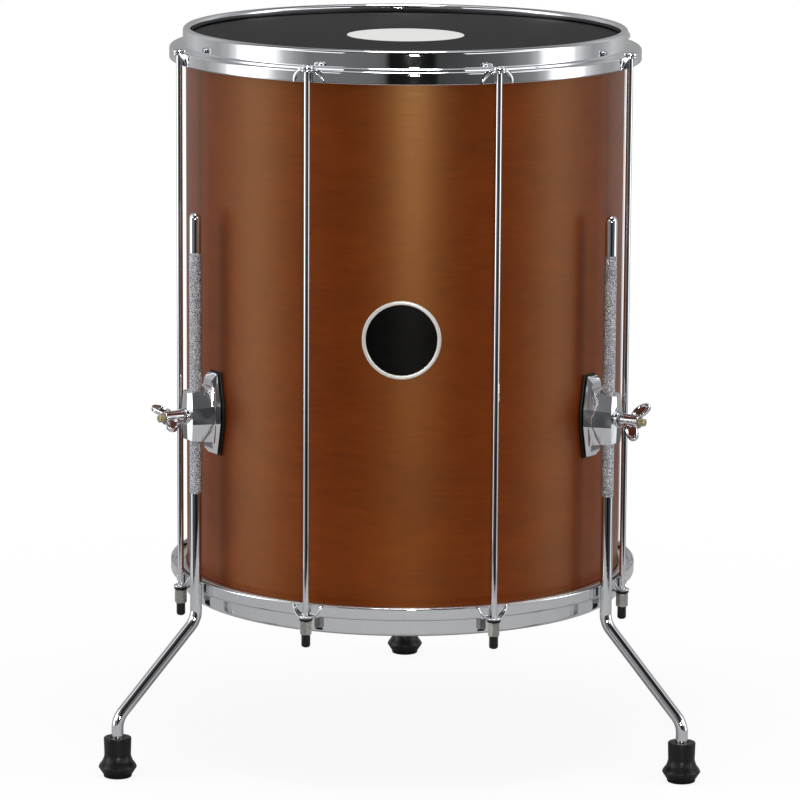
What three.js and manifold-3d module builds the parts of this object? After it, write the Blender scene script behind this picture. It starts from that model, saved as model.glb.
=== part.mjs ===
// A surdo: an eighteen-inch Brazilian floor drum on three adjustable legs.
// Millimetres, +Z up, floor at zero, the badge side faces -Y.
import * as THREE from 'three';
import { mergeVertices } from 'three/addons/utils/BufferGeometryUtils.js';
import { ConvexGeometry } from 'three/addons/geometries/ConvexGeometry.js';
import Module from 'manifold-3d';

const wasm = await Module();
wasm.setup();

// Fits and cutting
const seatGap = 0.3;
const slideGap = 0.3;
const turnGap = 0.3;
const overrun = 2;
const fullTurn = 2 * Math.PI;
const quarterTurn = Math.PI / 2;

// How finely round things are cut
const drumSides = 48;
const rodSides = 8;
const legSides = 12;
const footSides = 16;
const boreSides = 12;
const bendSteps = 4;

// Heights above the floor
const drumBottom = 160.1;
const drumDepth = 596.6;
const bracketHeight = 370.1;
const badgeHeight = 465.4;

// Wooden shell
const shellRadius = 228.6;
const shellWall = 7;
const edgeRoundWidth = 2.4;
const edgeRoundDrop = 3.4;

// Drum heads: a plastic film whose collar runs down into a metal flesh hoop
const headDepth = 9.1;
const filmThickness = 0.6;
const fleshHoopWidth = 6.4;
const fleshHoopHeight = 9;
const fleshLipThickness = 1.6;
const filmLipWidth = 3.2;

// Pressed steel hoops: rolled bead, upright band, shelf and outer skirt
const sheet = 1.8;
const hoopHeight = 32.4;
const beadRadius = 4.2;
const collarClearance = 0.4;
const beadLipLength = 3;
const shelfDrop = 18;
const shelfSlope = 1.4;
const shelfCorner = 3;
const bandFoot = 1.6;
const shelfReach = 14.1;

// Ears pressed out of each hoop, one for each tension rod
const earCount = 8;
const rodClearance = 0.2;
const tongueStep = 0.8;
const tongueThickness = 2;
const tongueHalfWidth = 7.4;
const mouthHalfWidth = 16;
const gusset = 1.5;

// Tension rods with round heads, washers, tall nuts and end caps
const rodDiameter = 6.35;
const rodHeadDiameter = 14;
const rodHeadHeight = 3;
const rodHeadChamfer = 0.9;
const rodHoleClearance = 0.35;
const rodWasherDiameter = 14;
const rodWasherThickness = 2.3;
const nutAcrossFlats = 11;
const nutHeight = 14.3;
const nutChamfer = 0.8;
const nutBoreClearance = 0.5;
const capDiameter = 9.2;
const capLength = 13;
const capNose = 3;

// Legs: one bent rod each, knurled where the bracket grips it, just clear of the skirts
const legAngle = THREE.MathUtils.degToRad(56.7);
const rearLegAngle = Math.PI;
const legClearance = 1.25;
const footSplay = 93.7;
const legDiameter = 12.4;
const knurlRise = 0.25;
const legTop = 579.9;
const knurlTop = 538.7;
const knurlBottom = 288.3;
const tipChamfer = 4.6;
const tipNoseRadius = 3.2;
const legKneeHeight = 154.6;
const legBendRadius = 24;
const legSplay = Math.PI / 4;
const knurlRun = 1;

// Rubber feet
const footHeight = 41.8;
const footTopDiameter = 28.6;
const footWaistDiameter = 27.4;
const footFlareDiameter = 39.6;
const footBaseDiameter = 30.2;
const footFlareHeight = 10.8;
const footBaseHeight = 4.4;
const footSole = 11;
const footShoulder = 1.6;

// Leg brackets: faceted castings on a rubber gasket
const bracketBaseWidth = 32;
const bracketBaseEndWidth = 18;
const bracketBaseHeight = 84;
const bracketWaistHeight = 18;
const bracketBaseEdge = 2;
const bracketBaseBevel = 5.2;
const bracketBaseInset = 2;
const bracketBaseEndInset = 7;
const housingInset = 1.9;
const housingEndWidth = 20;
const housingTab = 15;
const housingFront = 0.75;
const housingCrown = 2.5;
const housingFlare = 1.6;
const housingShoulder = 6;
const bossDiameter = 17;
const bossRise = 2.4;
const gasketThickness = 2;
const gasketBorder = 1.4;

// Screws that hold a bracket from inside the shell
const screwInset = 8;
const screwDiameter = 5;
const screwHoleClearance = 0.3;
const screwHeadDiameter = 9.5;
const screwHeadHeight = 3.2;
const screwBite = 5.2;
const screwFlangeDiameter = 12;
const screwFlangeThickness = 1.2;

// Eye bolt, washer and wing nut that clamp each leg
const eyeClearance = 1.15;
const eyeWall = 2.8;
const eyeHeight = 11;
const eyeRoomSide = 0.6;
const eyeRoomHeight = 0.5;
const eyeRoomFront = 0.4;
const studDiameter = 8;
const studClearance = 0.4;
const studShow = 10;
const studChamfer = 1;
const clampWasherBorder = 3.5;
const clampWasherThickness = 1.5;
const wingHubWall = 2.3;
const wingHubTipWall = 1.4;
const wingHubLength = 19;
const wingLength = 22;
const wingWidth = 13;
const wingThickness = 4.4;
const wingOffset = 13;
const wingOutset = 16.5;
const wingLean = THREE.MathUtils.degToRad(40);
const wingEdge = 1;
const wingTurns = { left: 65, right: -43, rear: 20 };

// Round badge, bent to the shell
const badgeDiameter = 80;
const badgeRim = 3.9;
const badgeThickness = 1;
const badgeRimRise = 0.5;
const badgeSides = 28;

// Colours and finishes
const finish = {
  wood: { color: 0x8a4a22, roughness: 0.35, metalness: 0 },
  chrome: { color: 0xd8d9dc, roughness: 0.08, metalness: 1 },
  blackFilm: { color: 0x1b1b1c, roughness: 0.5, metalness: 0 },
  clearFilm: { color: 0xe8e8e4, roughness: 0.45, metalness: 0 },
  aluminium: { color: 0xc9cbcd, roughness: 0.35, metalness: 1 },
  zinc: { color: 0x9d9c9a, roughness: 0.35, metalness: 1 },
  blackPlastic: { color: 0x141414, roughness: 0.5, metalness: 0 },
  rubber: { color: 0x121212, roughness: 0.6, metalness: 0 },
  brass: { color: 0xb7a779, roughness: 0.3, metalness: 1 },
  blackEnamel: { color: 0x0b0b0c, roughness: 0.2, metalness: 0 },
};

// Helpers

// A three.js geometry as a solid that can be joined and cut.
function solid(geometry) {
  const bare = geometry.clone();
  bare.deleteAttribute('normal');
  bare.deleteAttribute('uv');
  const merged = mergeVertices(bare);
  const vertProperties = new Float32Array(merged.attributes.position.array);
  const triVerts = new Uint32Array(merged.index.array);
  return new wasm.Manifold(new wasm.Mesh({ numProp: 3, vertProperties, triVerts }));
}

// A solid as a three.js geometry again.
function shape(body) {
  const mesh = body.getMesh();
  const geometry = new THREE.BufferGeometry();
  geometry.setAttribute('position', new THREE.BufferAttribute(new Float32Array(mesh.vertProperties), 3));
  geometry.setIndex(new THREE.BufferAttribute(new Uint32Array(mesh.triVerts), 1));
  return geometry;
}

function joined(geometries) {
  return geometries.map(solid).reduce((whole, next) => whole.add(next));
}

function cut(body, geometries) {
  return geometries.map(solid).reduce((whole, next) => whole.subtract(next), body);
}

// A profile of [radius, height] pairs turned about the Z axis. Outer walls run upwards.
function turned(profile, sides) {
  const points = profile.map(([radius, height]) => new THREE.Vector2(radius, height));
  return new THREE.LatheGeometry(points, sides).rotateX(quarterTurn);
}

// A ring profile closes on itself.
function turnedRing(profile, sides) {
  return turned([...profile, profile[0]], sides);
}

function uprightCylinder(radius, low, high, sides) {
  return turned([[0, low], [radius, low], [radius, high], [0, high]], sides);
}

// The same cylinder lying along +X.
function lyingCylinder(radius, near, far, sides) {
  return uprightCylinder(radius, near, far, sides).rotateY(quarterTurn);
}

// Arc points from one angle to another about a centre in a profile's plane.
function arc(centreRadius, centreHeight, radius, from, to, steps) {
  const points = [];
  for (let step = 0; step <= steps; step += 1) {
    const angle = from + ((to - from) * step) / steps;
    points.push([centreRadius + radius * Math.cos(angle), centreHeight + radius * Math.sin(angle)]);
  }
  return points;
}

function material(kind) {
  return new THREE.MeshStandardMaterial(finish[kind]);
}

const surdo = new THREE.Group();

function addPiece(name, geometry, kind, parent = surdo) {
  const mesh = new THREE.Mesh(geometry, material(kind));
  mesh.name = name;
  parent.add(mesh);
  return mesh;
}

// A point on the drum: angle zero is the badge side, angles grow towards the right.
function around(angle, radius, height = 0) {
  return new THREE.Vector3(radius * Math.sin(angle), -radius * Math.cos(angle), height);
}

// A frame whose +X points away from the drum's axis at this angle.
function outwardFrame(angle, height, parent = surdo) {
  const frame = new THREE.Group();
  frame.rotation.z = angle - quarterTurn;
  frame.position.z = height;
  parent.add(frame);
  return frame;
}

// Levels and circles that follow from the sizes above
const drumTop = drumBottom + drumDepth;
const topFilm = drumTop - headDepth;
const bottomFilm = drumBottom + headDepth;
const shellTop = topFilm - filmThickness - seatGap;
const shellBottom = bottomFilm + filmThickness + seatGap;
const shellInner = shellRadius - shellWall;
const flatShare = Math.cos(Math.PI / drumSides);
const filmInner = shellRadius + seatGap;
const filmOuter = filmInner + filmThickness;
const tongueDrop = shelfDrop + tongueStep;
const knurlDiameter = legDiameter + 2 * knurlRise;
const hoopInner = filmOuter + collarClearance;
const bandRadius = hoopInner + sheet;
const skirtRadius = bandRadius + shelfReach;
const skirtInner = skirtRadius - sheet;
const rodCircle = skirtRadius + rodClearance + rodDiameter / 2;
const legCircle = skirtRadius + legClearance + knurlDiameter / 2;
const footCircle = legCircle + footSplay;
const shelfUnderside = shelfDrop + sheet + bandFoot;
const tongueTop = drumTop - tongueDrop;
const tongueBottom = drumBottom + tongueDrop;

// Shell: a ply tube with a rounded outer edge and a bevel inside
function shellGeometry() {
  const crest = shellRadius - edgeRoundWidth;
  const bevel = crest - shellInner;
  const profile = [
    [crest, shellBottom],
    [shellRadius - edgeRoundWidth / 4, shellBottom + edgeRoundDrop / 3],
    [shellRadius, shellBottom + edgeRoundDrop],
    [shellRadius, shellTop - edgeRoundDrop],
    [shellRadius - edgeRoundWidth / 4, shellTop - edgeRoundDrop / 3],
    [crest, shellTop],
    [shellInner, shellTop - bevel],
    [shellInner, shellBottom + bevel],
  ];
  const holes = [];
  for (const angle of [legAngle, -legAngle, rearLegAngle]) {
    for (const side of [1, -1]) {
      const radius = screwDiameter / 2 + screwHoleClearance;
      const hole = lyingCylinder(radius, shellInner - overrun, shellRadius + overrun, rodSides);
      hole.translate(0, 0, bracketHeight + (side * screwSpacing) / 2);
      holes.push(hole.rotateZ(angle - quarterTurn));
    }
  }
  return shape(cut(solid(turnedRing(profile, drumSides)), holes));
}

// Head: a flat film, its collar down the shell and a lip that the flesh hoop grips.
// Built playing side up with the film's face at zero.
function headGeometry() {
  const collarEnd = -(shelfUnderside - headDepth + seatGap + fleshHoopHeight / 2);
  const profile = [
    [0, -filmThickness],
    [filmInner - edgeRoundWidth / 2, -filmThickness],
    [filmInner, -filmThickness - edgeRoundDrop],
    [filmInner, collarEnd],
    [filmOuter + filmLipWidth, collarEnd],
    [filmOuter + filmLipWidth, collarEnd + filmThickness],
    [filmOuter, collarEnd + filmThickness],
    [filmOuter, -edgeRoundDrop],
    [filmOuter - edgeRoundWidth / 2, 0],
    [0, 0],
  ];
  return turned(profile, drumSides);
}

// Flesh hoop: an open-backed channel that holds the film's lip, under the hoop's shelf
function fleshHoopGeometry() {
  const top = -(shelfUnderside - headDepth + seatGap);
  const bottom = top - fleshHoopHeight;
  const slotMiddle = top - fleshHoopHeight / 2 + filmThickness / 2;
  const slotHalf = filmThickness / 2 + seatGap;
  const inner = filmOuter + seatGap;
  const outer = inner + fleshHoopWidth;
  const slotEnd = outer - fleshLipThickness;
  const profile = [
    [inner, bottom],
    [outer, bottom],
    [outer, top],
    [inner, top],
    [inner, slotMiddle + slotHalf],
    [slotEnd, slotMiddle + slotHalf],
    [slotEnd, slotMiddle - slotHalf],
    [inner, slotMiddle - slotHalf],
  ];
  return turnedRing(profile, drumSides);
}

// One ear: a flat tongue that the rod passes through, with a gusset on each side
// that widens towards the skirt's free edge. Its top face is at zero, +X is outwards.
function earSolid() {
  const root = hoopInner + (skirtInner - hoopInner) / 2;
  const tongueEnd = arc(rodCircle, 0, tongueHalfWidth, -quarterTurn, quarterTurn, rodSides / 2);
  const rim = [[root, -tongueHalfWidth], ...tongueEnd, [root, tongueHalfWidth]];
  const skirtFoot = Math.sqrt(skirtRadius ** 2 - mouthHalfWidth ** 2) - sheet / 2;
  const freeEdge = tongueDrop - hoopHeight;
  const plate = [];
  for (const [x, y] of rim) {
    plate.push(new THREE.Vector3(x, y, 0));
    plate.push(new THREE.Vector3(x, y, -tongueThickness));
  }
  const wedge = rim.filter(([x]) => x > root).map(([x, y]) => new THREE.Vector3(x, y, -sheet));
  for (const side of [1, -1]) {
    wedge.push(new THREE.Vector3(skirtInner + sheet / 4, side * tongueHalfWidth, -sheet));
    wedge.push(new THREE.Vector3(skirtFoot, side * mouthHalfWidth, freeEdge));
  }
  const pocket = [];
  const reach = rodCircle + tongueHalfWidth + overrun;
  const below = freeEdge - overrun;
  const openSlope = (mouthHalfWidth - tongueHalfWidth) / (hoopHeight - tongueDrop - sheet);
  const pocketTop = tongueHalfWidth - gusset;
  const pocketBottom = pocketTop + openSlope * (-below - tongueThickness);
  for (const side of [1, -1]) {
    for (const x of [skirtRadius, reach]) {
      pocket.push(new THREE.Vector3(x, side * pocketTop, -tongueThickness));
      pocket.push(new THREE.Vector3(x, side * pocketBottom, below));
    }
  }
  const body = solid(new ConvexGeometry(plate)).add(solid(new ConvexGeometry(wedge)));
  return body.subtract(solid(new ConvexGeometry(pocket)));
}

// Hoop, bead up, with its ears. The bead's top is at zero.
function hoopGeometry() {
  const crown = bandRadius - beadRadius;
  const beadInner = beadRadius - sheet;
  const shelfLow = -shelfDrop - shelfSlope;
  const profile = [
    [crown - beadRadius, -beadRadius - beadLipLength],
    [crown - beadInner, -beadRadius - beadLipLength],
    ...arc(crown, -beadRadius, beadInner, Math.PI, 0, bendSteps / 2),
    [hoopInner, -shelfDrop - bandFoot],
    [hoopInner + bandFoot, -shelfDrop - sheet],
    [skirtInner - shelfCorner / 2, shelfLow - sheet],
    [skirtInner, shelfLow - shelfCorner],
    [skirtInner, -hoopHeight],
    [skirtRadius, -hoopHeight],
    ...arc(skirtRadius - shelfCorner, shelfLow - shelfCorner, shelfCorner, 0, quarterTurn, bendSteps / 2),
    [bandRadius + bandFoot, -shelfDrop],
    [bandRadius, -shelfDrop + bandFoot],
    ...arc(crown, -beadRadius, beadRadius, 0, Math.PI, bendSteps),
  ];
  let body = solid(turnedRing(profile, drumSides));
  const ear = shape(earSolid());
  const holes = [];
  for (let index = 0; index < earCount; index += 1) {
    const angle = earAngle(index);
    body = body.add(solid(ear.clone().translate(0, 0, -tongueDrop).rotateZ(angle - quarterTurn)));
    const radius = rodDiameter / 2 + rodHoleClearance;
    const hole = uprightCylinder(radius, -tongueDrop - sheet - overrun, -tongueDrop + overrun, rodSides);
    const centre = around(angle, rodCircle);
    holes.push(hole.translate(centre.x, centre.y, 0));
  }
  return shape(cut(body, holes));
}

function earAngle(index) {
  return ((index + 1 / 2) * fullTurn) / earCount;
}

// Tension rod with its round head and the cap moulded on its lower end, at its place
function rodGeometry() {
  const headLow = tongueTop + seatGap;
  const headHigh = headLow + rodHeadHeight;
  const capLow = capTop() - capLength;
  const profile = [
    [0, capLow],
    [capDiameter / 2 - capNose / 2, capLow + capNose / 5],
    [capDiameter / 2, capLow + capNose],
    [capDiameter / 2, capTop()],
    [rodDiameter / 2, capTop()],
    [rodDiameter / 2, headLow],
    [rodHeadDiameter / 2, headLow],
    [rodHeadDiameter / 2, headHigh - rodHeadChamfer],
    [rodHeadDiameter / 2 - rodHeadChamfer, headHigh],
    [0, headHigh],
  ];
  return turned(profile, rodSides);
}

function washerTop() {
  return tongueBottom - seatGap;
}

function nutTop() {
  return washerTop() - rodWasherThickness - turnGap;
}

function capTop() {
  return nutTop() - nutHeight - turnGap;
}

function washerGeometry(outerDiameter, boreDiameter, low, high, sides) {
  const profile = [
    [boreDiameter / 2, low],
    [outerDiameter / 2, low],
    [outerDiameter / 2, high],
    [boreDiameter / 2, high],
  ];
  return turnedRing(profile, sides);
}

// Tall hexagonal nut with chamfered ends
function nutGeometry() {
  const corner = nutAcrossFlats / 2 / Math.cos(Math.PI / 6) - nutChamfer;
  const outline = new THREE.Shape();
  for (let side = 0; side < 6; side += 1) {
    const angle = (side * fullTurn) / 6;
    const move = side === 0 ? 'moveTo' : 'lineTo';
    outline[move](corner * Math.cos(angle), corner * Math.sin(angle));
  }
  outline.closePath();
  const bore = new THREE.Path();
  bore.absarc(0, 0, rodDiameter / 2 + nutBoreClearance + nutChamfer, 0, fullTurn, true);
  outline.holes.push(bore);
  const body = new THREE.ExtrudeGeometry(outline, {
    depth: nutHeight - 2 * nutChamfer,
    bevelThickness: nutChamfer,
    bevelSize: nutChamfer,
    bevelSegments: 1,
    curveSegments: rodSides / 2,
  });
  return body.translate(0, 0, nutTop() - nutHeight + nutChamfer);
}

// A path that spends its steps on its corners: every listed point is one station.
class StationPath extends THREE.Curve {
  constructor(stations) {
    super();
    this.stations = stations;
  }

  getPoint(t, target = new THREE.Vector3()) {
    const last = this.stations.length - 1;
    const place = Math.min(Math.max(t, 0), 1) * last;
    const index = Math.min(Math.floor(place), last - 1);
    return target.lerpVectors(this.stations[index], this.stations[index + 1], place - index);
  }

  getUtoTmapping(u) {
    return u;
  }
}

const legFootEnd = footSole + seatGap;

// Leg, at its place in the outward frame: +X is away from the drum
function legGeometry() {
  const ankleHeight = legKneeHeight - footSplay / Math.tan(legSplay);
  const tangent = legBendRadius * Math.tan(legSplay / 2);
  const kneeCentre = new THREE.Vector2(legCircle + legBendRadius, legKneeHeight + tangent);
  const ankleCentre = new THREE.Vector2(footCircle - legBendRadius, ankleHeight - tangent);
  const stations = [new THREE.Vector3(legCircle, 0, knurlBottom + knurlRun)];
  for (let step = 0; step <= bendSteps; step += 1) {
    const angle = Math.PI + (legSplay * step) / bendSteps;
    const x = kneeCentre.x + legBendRadius * Math.cos(angle);
    stations.push(new THREE.Vector3(x, 0, kneeCentre.y + legBendRadius * Math.sin(angle)));
  }
  for (let step = 0; step <= bendSteps; step += 1) {
    const angle = legSplay - (legSplay * step) / bendSteps;
    const x = ankleCentre.x + legBendRadius * Math.cos(angle);
    stations.push(new THREE.Vector3(x, 0, ankleCentre.y + legBendRadius * Math.sin(angle)));
  }
  stations.push(new THREE.Vector3(footCircle, 0, legFootEnd));
  const section = new THREE.Shape();
  section.absarc(0, 0, legDiameter / 2, 0, fullTurn, false);
  const bent = new THREE.ExtrudeGeometry(section, {
    steps: stations.length - 1,
    curveSegments: legSides / 2,
    extrudePath: new StationPath(stations),
  });
  const radius = legDiameter / 2;
  const knurl = knurlDiameter / 2;
  const straight = turned([
    [0, knurlBottom],
    [knurl, knurlBottom],
    [knurl, knurlTop - knurlRun],
    [radius, knurlTop],
    [radius, legTop - tipChamfer],
    [tipNoseRadius, legTop],
    [0, legTop],
  ], legSides).translate(legCircle, 0, 0);
  return shape(joined([bent, straight]));
}

// Rubber foot with a socket for the leg's end
function footGeometry() {
  const socket = legDiameter / 2 + seatGap;
  const flareRise = footHeight - footFlareHeight;
  const profile = [
    [0, 0],
    [footBaseDiameter / 2 - footShoulder / 2, 0],
    [footBaseDiameter / 2, footBaseHeight / 3],
    [footBaseDiameter / 2, footBaseHeight],
    [footFlareDiameter / 2, footFlareHeight],
    [footFlareDiameter / 2 - footShoulder, footFlareHeight + footShoulder],
    [(footFlareDiameter + footWaistDiameter) / 4, footFlareHeight + flareRise / 8],
    [footWaistDiameter / 2, footFlareHeight + flareRise / 3],
    [footTopDiameter / 2, footHeight],
    [socket, footHeight],
    [socket, footSole],
    [0, footSole],
  ];
  return turned(profile, footSides);
}

// Leg bracket, in the outward frame with its middle at height zero
const gasketFace = shellRadius + seatGap + gasketThickness;
const bracketBack = gasketFace + seatGap;
const bracketShelf = bracketBack + bracketBaseEdge + bracketBaseBevel;
const housingWidth = bracketBaseWidth - 2 * housingInset;
const housingHeight = bracketBaseHeight - 2 * housingTab;
const screwSpacing = bracketBaseHeight - 2 * screwInset;
const eyeInnerRadius = knurlDiameter / 2 + eyeClearance;
const eyeOuterRadius = eyeInnerRadius + eyeWall;
const eyeCentre = legCircle + eyeInnerRadius - knurlDiameter / 2 - slideGap;
const cavityEnd = eyeCentre + eyeOuterRadius + eyeRoomFront;
const housingFace = cavityEnd + housingFront;
const bossFace = housingFace + bossRise;

// Corners of an elongated eight-sided outline at one distance from the axis
function coffin(distance, width, endWidth, waist, height, endDistance = distance) {
  const corners = [];
  for (const side of [1, -1]) {
    for (const up of [1, -1]) {
      corners.push(new THREE.Vector3(distance, (side * width) / 2, (up * waist) / 2));
      corners.push(new THREE.Vector3(endDistance, (side * endWidth) / 2, (up * height) / 2));
    }
  }
  return corners;
}

function bracketGeometry() {
  const waist = bracketWaistHeight;
  const edge = bracketBack + bracketBaseEdge;
  const insetWidth = bracketBaseWidth - 2 * bracketBaseInset;
  const insetEnd = bracketBaseEndWidth - 2 * bracketBaseInset;
  const insetHeight = bracketBaseHeight - 2 * bracketBaseEndInset;
  const base = new ConvexGeometry([
    ...coffin(bracketBack, bracketBaseWidth, bracketBaseEndWidth, waist, bracketBaseHeight),
    ...coffin(edge, bracketBaseWidth, bracketBaseEndWidth, waist, bracketBaseHeight),
    ...coffin(bracketShelf, insetWidth, insetEnd, waist, insetHeight),
  ]);
  const flare = 2 * housingFlare;
  const shoulder = bracketShelf + housingShoulder;
  const low = bracketShelf - housingFlare;
  const flaredWidth = housingWidth + flare / 2;
  const flaredEnd = housingEndWidth + flare;
  const crownFace = housingFace - housingCrown;
  const crownWidth = housingEndWidth - flare / 2;
  const crownHeight = housingHeight - flare;
  const housing = new ConvexGeometry([
    ...coffin(low, flaredWidth, flaredEnd, waist, housingHeight + flare),
    ...coffin(shoulder, housingWidth, housingEndWidth, waist, housingHeight + housingFlare),
    ...coffin(housingFace, housingWidth, crownWidth, waist, crownHeight, crownFace),
  ]);
  const boss = lyingCylinder(bossDiameter / 2, cavityEnd, bossFace, footSides);
  const cavityWidth = 2 * (eyeOuterRadius + eyeRoomSide);
  const cavityHeight = eyeHeight + 2 * eyeRoomHeight;
  const cavityLength = cavityEnd - bracketBack + overrun;
  const cavity = new THREE.BoxGeometry(cavityLength, cavityWidth, cavityHeight);
  cavity.translate(cavityEnd - cavityLength / 2, 0, 0);
  const halfBore = housingHeight / 2 + flare + overrun;
  const legBore = uprightCylinder(knurlDiameter / 2 + slideGap, -halfBore, halfBore, legSides);
  legBore.translate(legCircle, 0, 0);
  const studHole = studDiameter / 2 + studClearance;
  const studBore = lyingCylinder(studHole, eyeCentre, bossFace + overrun, boreSides);
  const cuts = [cavity, legBore, studBore];
  for (const side of [1, -1]) {
    const radius = screwDiameter / 2 + screwHoleClearance;
    const depth = bracketBack + screwBite + seatGap;
    const hole = lyingCylinder(radius, bracketBack - overrun, depth, rodSides);
    cuts.push(hole.translate(0, 0, (side * screwSpacing) / 2));
  }
  return shape(cut(joined([base, housing, boss]), cuts));
}

function gasketGeometry() {
  const width = bracketBaseWidth + 2 * gasketBorder;
  const endWidth = bracketBaseEndWidth + 2 * gasketBorder;
  const height = bracketBaseHeight + 2 * gasketBorder;
  const inside = shellRadius - gasketThickness;
  const block = new ConvexGeometry([
    ...coffin(inside, width, endWidth, bracketWaistHeight, height),
    ...coffin(gasketFace, width, endWidth, bracketWaistHeight, height),
  ]);
  const halfCut = height / 2 + overrun;
  const drum = uprightCylinder(shellRadius + seatGap, -halfCut, halfCut, 2 * drumSides);
  const cuts = [drum];
  for (const side of [1, -1]) {
    const radius = screwDiameter / 2 + screwHoleClearance;
    const hole = lyingCylinder(radius, inside, gasketFace + overrun, rodSides);
    cuts.push(hole.translate(0, 0, (side * screwSpacing) / 2));
  }
  return shape(cut(solid(block), cuts));
}

function eyeBoltGeometry() {
  const half = eyeHeight / 2;
  const ring = turnedRing([
    [eyeInnerRadius, -half],
    [eyeOuterRadius, -half],
    [eyeOuterRadius, half],
    [eyeInnerRadius, half],
  ], legSides).translate(eyeCentre, 0, 0);
  const far = wingNutNear + wingHubLength + studShow;
  const near = eyeCentre + (eyeInnerRadius + eyeOuterRadius) / 2;
  const stud = turned([
    [0, near],
    [studDiameter / 2, near],
    [studDiameter / 2, far - studChamfer],
    [studDiameter / 2 - studChamfer, far],
    [0, far],
  ], boreSides).rotateY(quarterTurn);
  return shape(joined([ring, stud]));
}

const clampWasherNear = bossFace + seatGap;
const wingNutNear = clampWasherNear + clampWasherThickness + turnGap;

function clampWasherGeometry() {
  const bore = studDiameter + 2 * studClearance;
  const far = clampWasherNear + clampWasherThickness;
  const outer = studDiameter + 2 * clampWasherBorder;
  return washerGeometry(outer, bore, clampWasherNear, far, boreSides).rotateY(quarterTurn);
}

// Wing nut, standing along +X with its wings in the X-Z plane before it is turned
function wingNutGeometry(turn) {
  const far = wingNutNear + wingHubLength;
  const bore = studDiameter / 2 + turnGap;
  const hub = turned([
    [0, wingNutNear],
    [studDiameter / 2 + wingHubWall, wingNutNear],
    [studDiameter / 2 + wingHubTipWall, far],
    [0, far],
  ], boreSides).rotateY(quarterTurn);
  const wings = [1, -1].map((side) => {
    const outline = new THREE.Shape();
    const halfLength = wingLength / 2 - wingEdge;
    const halfWidth = wingWidth / 2 - wingEdge;
    outline.absellipse(0, 0, halfLength, halfWidth, 0, fullTurn, false, 0);
    const plate = new THREE.ExtrudeGeometry(outline, {
      depth: wingThickness - 2 * wingEdge,
      bevelThickness: wingEdge,
      bevelSize: wingEdge,
      bevelSegments: 1,
      curveSegments: legSides / 2,
    });
    plate.translate(0, 0, wingEdge - wingThickness / 2);
    plate.rotateX(quarterTurn);
    plate.rotateY(side * (wingLean - quarterTurn));
    return plate.translate(wingNutNear + wingOutset, 0, side * wingOffset);
  });
  const hole = lyingCylinder(bore, wingNutNear - overrun, far + overrun, boreSides);
  const body = cut(joined([hub, ...wings]), [hole]);
  return shape(body).rotateX(THREE.MathUtils.degToRad(turn));
}

// Washer-head screw from inside the shell into the bracket's base
function screwGeometry() {
  const flangeFar = shellInner * flatShare - seatGap;
  const flangeNear = flangeFar - screwFlangeThickness;
  const headNear = flangeNear - screwHeadHeight;
  const tip = bracketBack + screwBite;
  const profile = [
    [0, headNear],
    [screwHeadDiameter / 3, headNear],
    [screwHeadDiameter / 2, headNear + screwHeadHeight / 2],
    [screwHeadDiameter / 2, flangeNear],
    [screwFlangeDiameter / 2, flangeNear],
    [screwFlangeDiameter / 2, flangeFar],
    [screwDiameter / 2, flangeFar],
    [screwDiameter / 2, tip],
    [0, tip],
  ];
  return turned(profile, rodSides).rotateY(quarterTurn);
}

// Badge: a disc and its rim, both bent to the shell
function badgeLayer(outerRadius, innerRadius, thickness) {
  const near = shellRadius + seatGap;
  const far = near + thickness;
  const half = badgeDiameter / 2 + overrun;
  const skin = turnedRing([[near, -half], [far, -half], [far, half], [near, half]], 2 * drumSides);
  const reach = far + overrun;
  const punch = lyingCylinder(outerRadius, reach / 2, reach, badgeSides);
  let body = solid(skin).intersect(solid(punch));
  if (innerRadius > 0) {
    body = cut(body, [lyingCylinder(innerRadius, reach / 2, reach, badgeSides)]);
  }
  return shape(body);
}

// Assembly
addPiece('shell', shellGeometry(), 'wood');

const topHoop = hoopGeometry();
addPiece('top_hoop', topHoop, 'chrome').position.z = drumTop;
const bottomHoop = addPiece('bottom_hoop', topHoop.clone(), 'chrome');
bottomHoop.rotation.x = Math.PI;
bottomHoop.position.z = drumBottom;

addPiece('top_head', headGeometry(), 'blackFilm').position.z = topFilm;
const bottomHead = addPiece('bottom_head', headGeometry(), 'clearFilm');
bottomHead.rotation.x = Math.PI;
bottomHead.position.z = bottomFilm;

addPiece('top_flesh_hoop', fleshHoopGeometry(), 'aluminium').position.z = topFilm;
const bottomFleshHoop = addPiece('bottom_flesh_hoop', fleshHoopGeometry(), 'aluminium');
bottomFleshHoop.rotation.x = Math.PI;
bottomFleshHoop.position.z = bottomFilm;

const badgeFrame = outwardFrame(0, badgeHeight);
const badgeInner = badgeDiameter / 2 - badgeRim;
addPiece('badge_disc', badgeLayer(badgeInner - seatGap, 0, badgeThickness), 'blackEnamel', badgeFrame);
const rimThickness = badgeThickness + badgeRimRise;
addPiece('badge_rim', badgeLayer(badgeDiameter / 2, badgeInner, rimThickness), 'aluminium', badgeFrame);

const rodBore = rodDiameter + 2 * rodHoleClearance;
for (let index = 0; index < earCount; index += 1) {
  const angle = earAngle(index);
  const place = around(angle, rodCircle);
  addPiece(`tension_rod_${index + 1}`, rodGeometry(), 'chrome').position.copy(place);
  const low = washerTop() - rodWasherThickness;
  const washer = washerGeometry(rodWasherDiameter, rodBore, low, washerTop(), rodSides);
  addPiece(`rod_washer_${index + 1}`, washer, 'blackPlastic').position.copy(place);
  const nut = addPiece(`tuning_nut_${index + 1}`, nutGeometry(), 'zinc');
  nut.position.copy(place);
  nut.rotation.z = angle;
}

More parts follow.
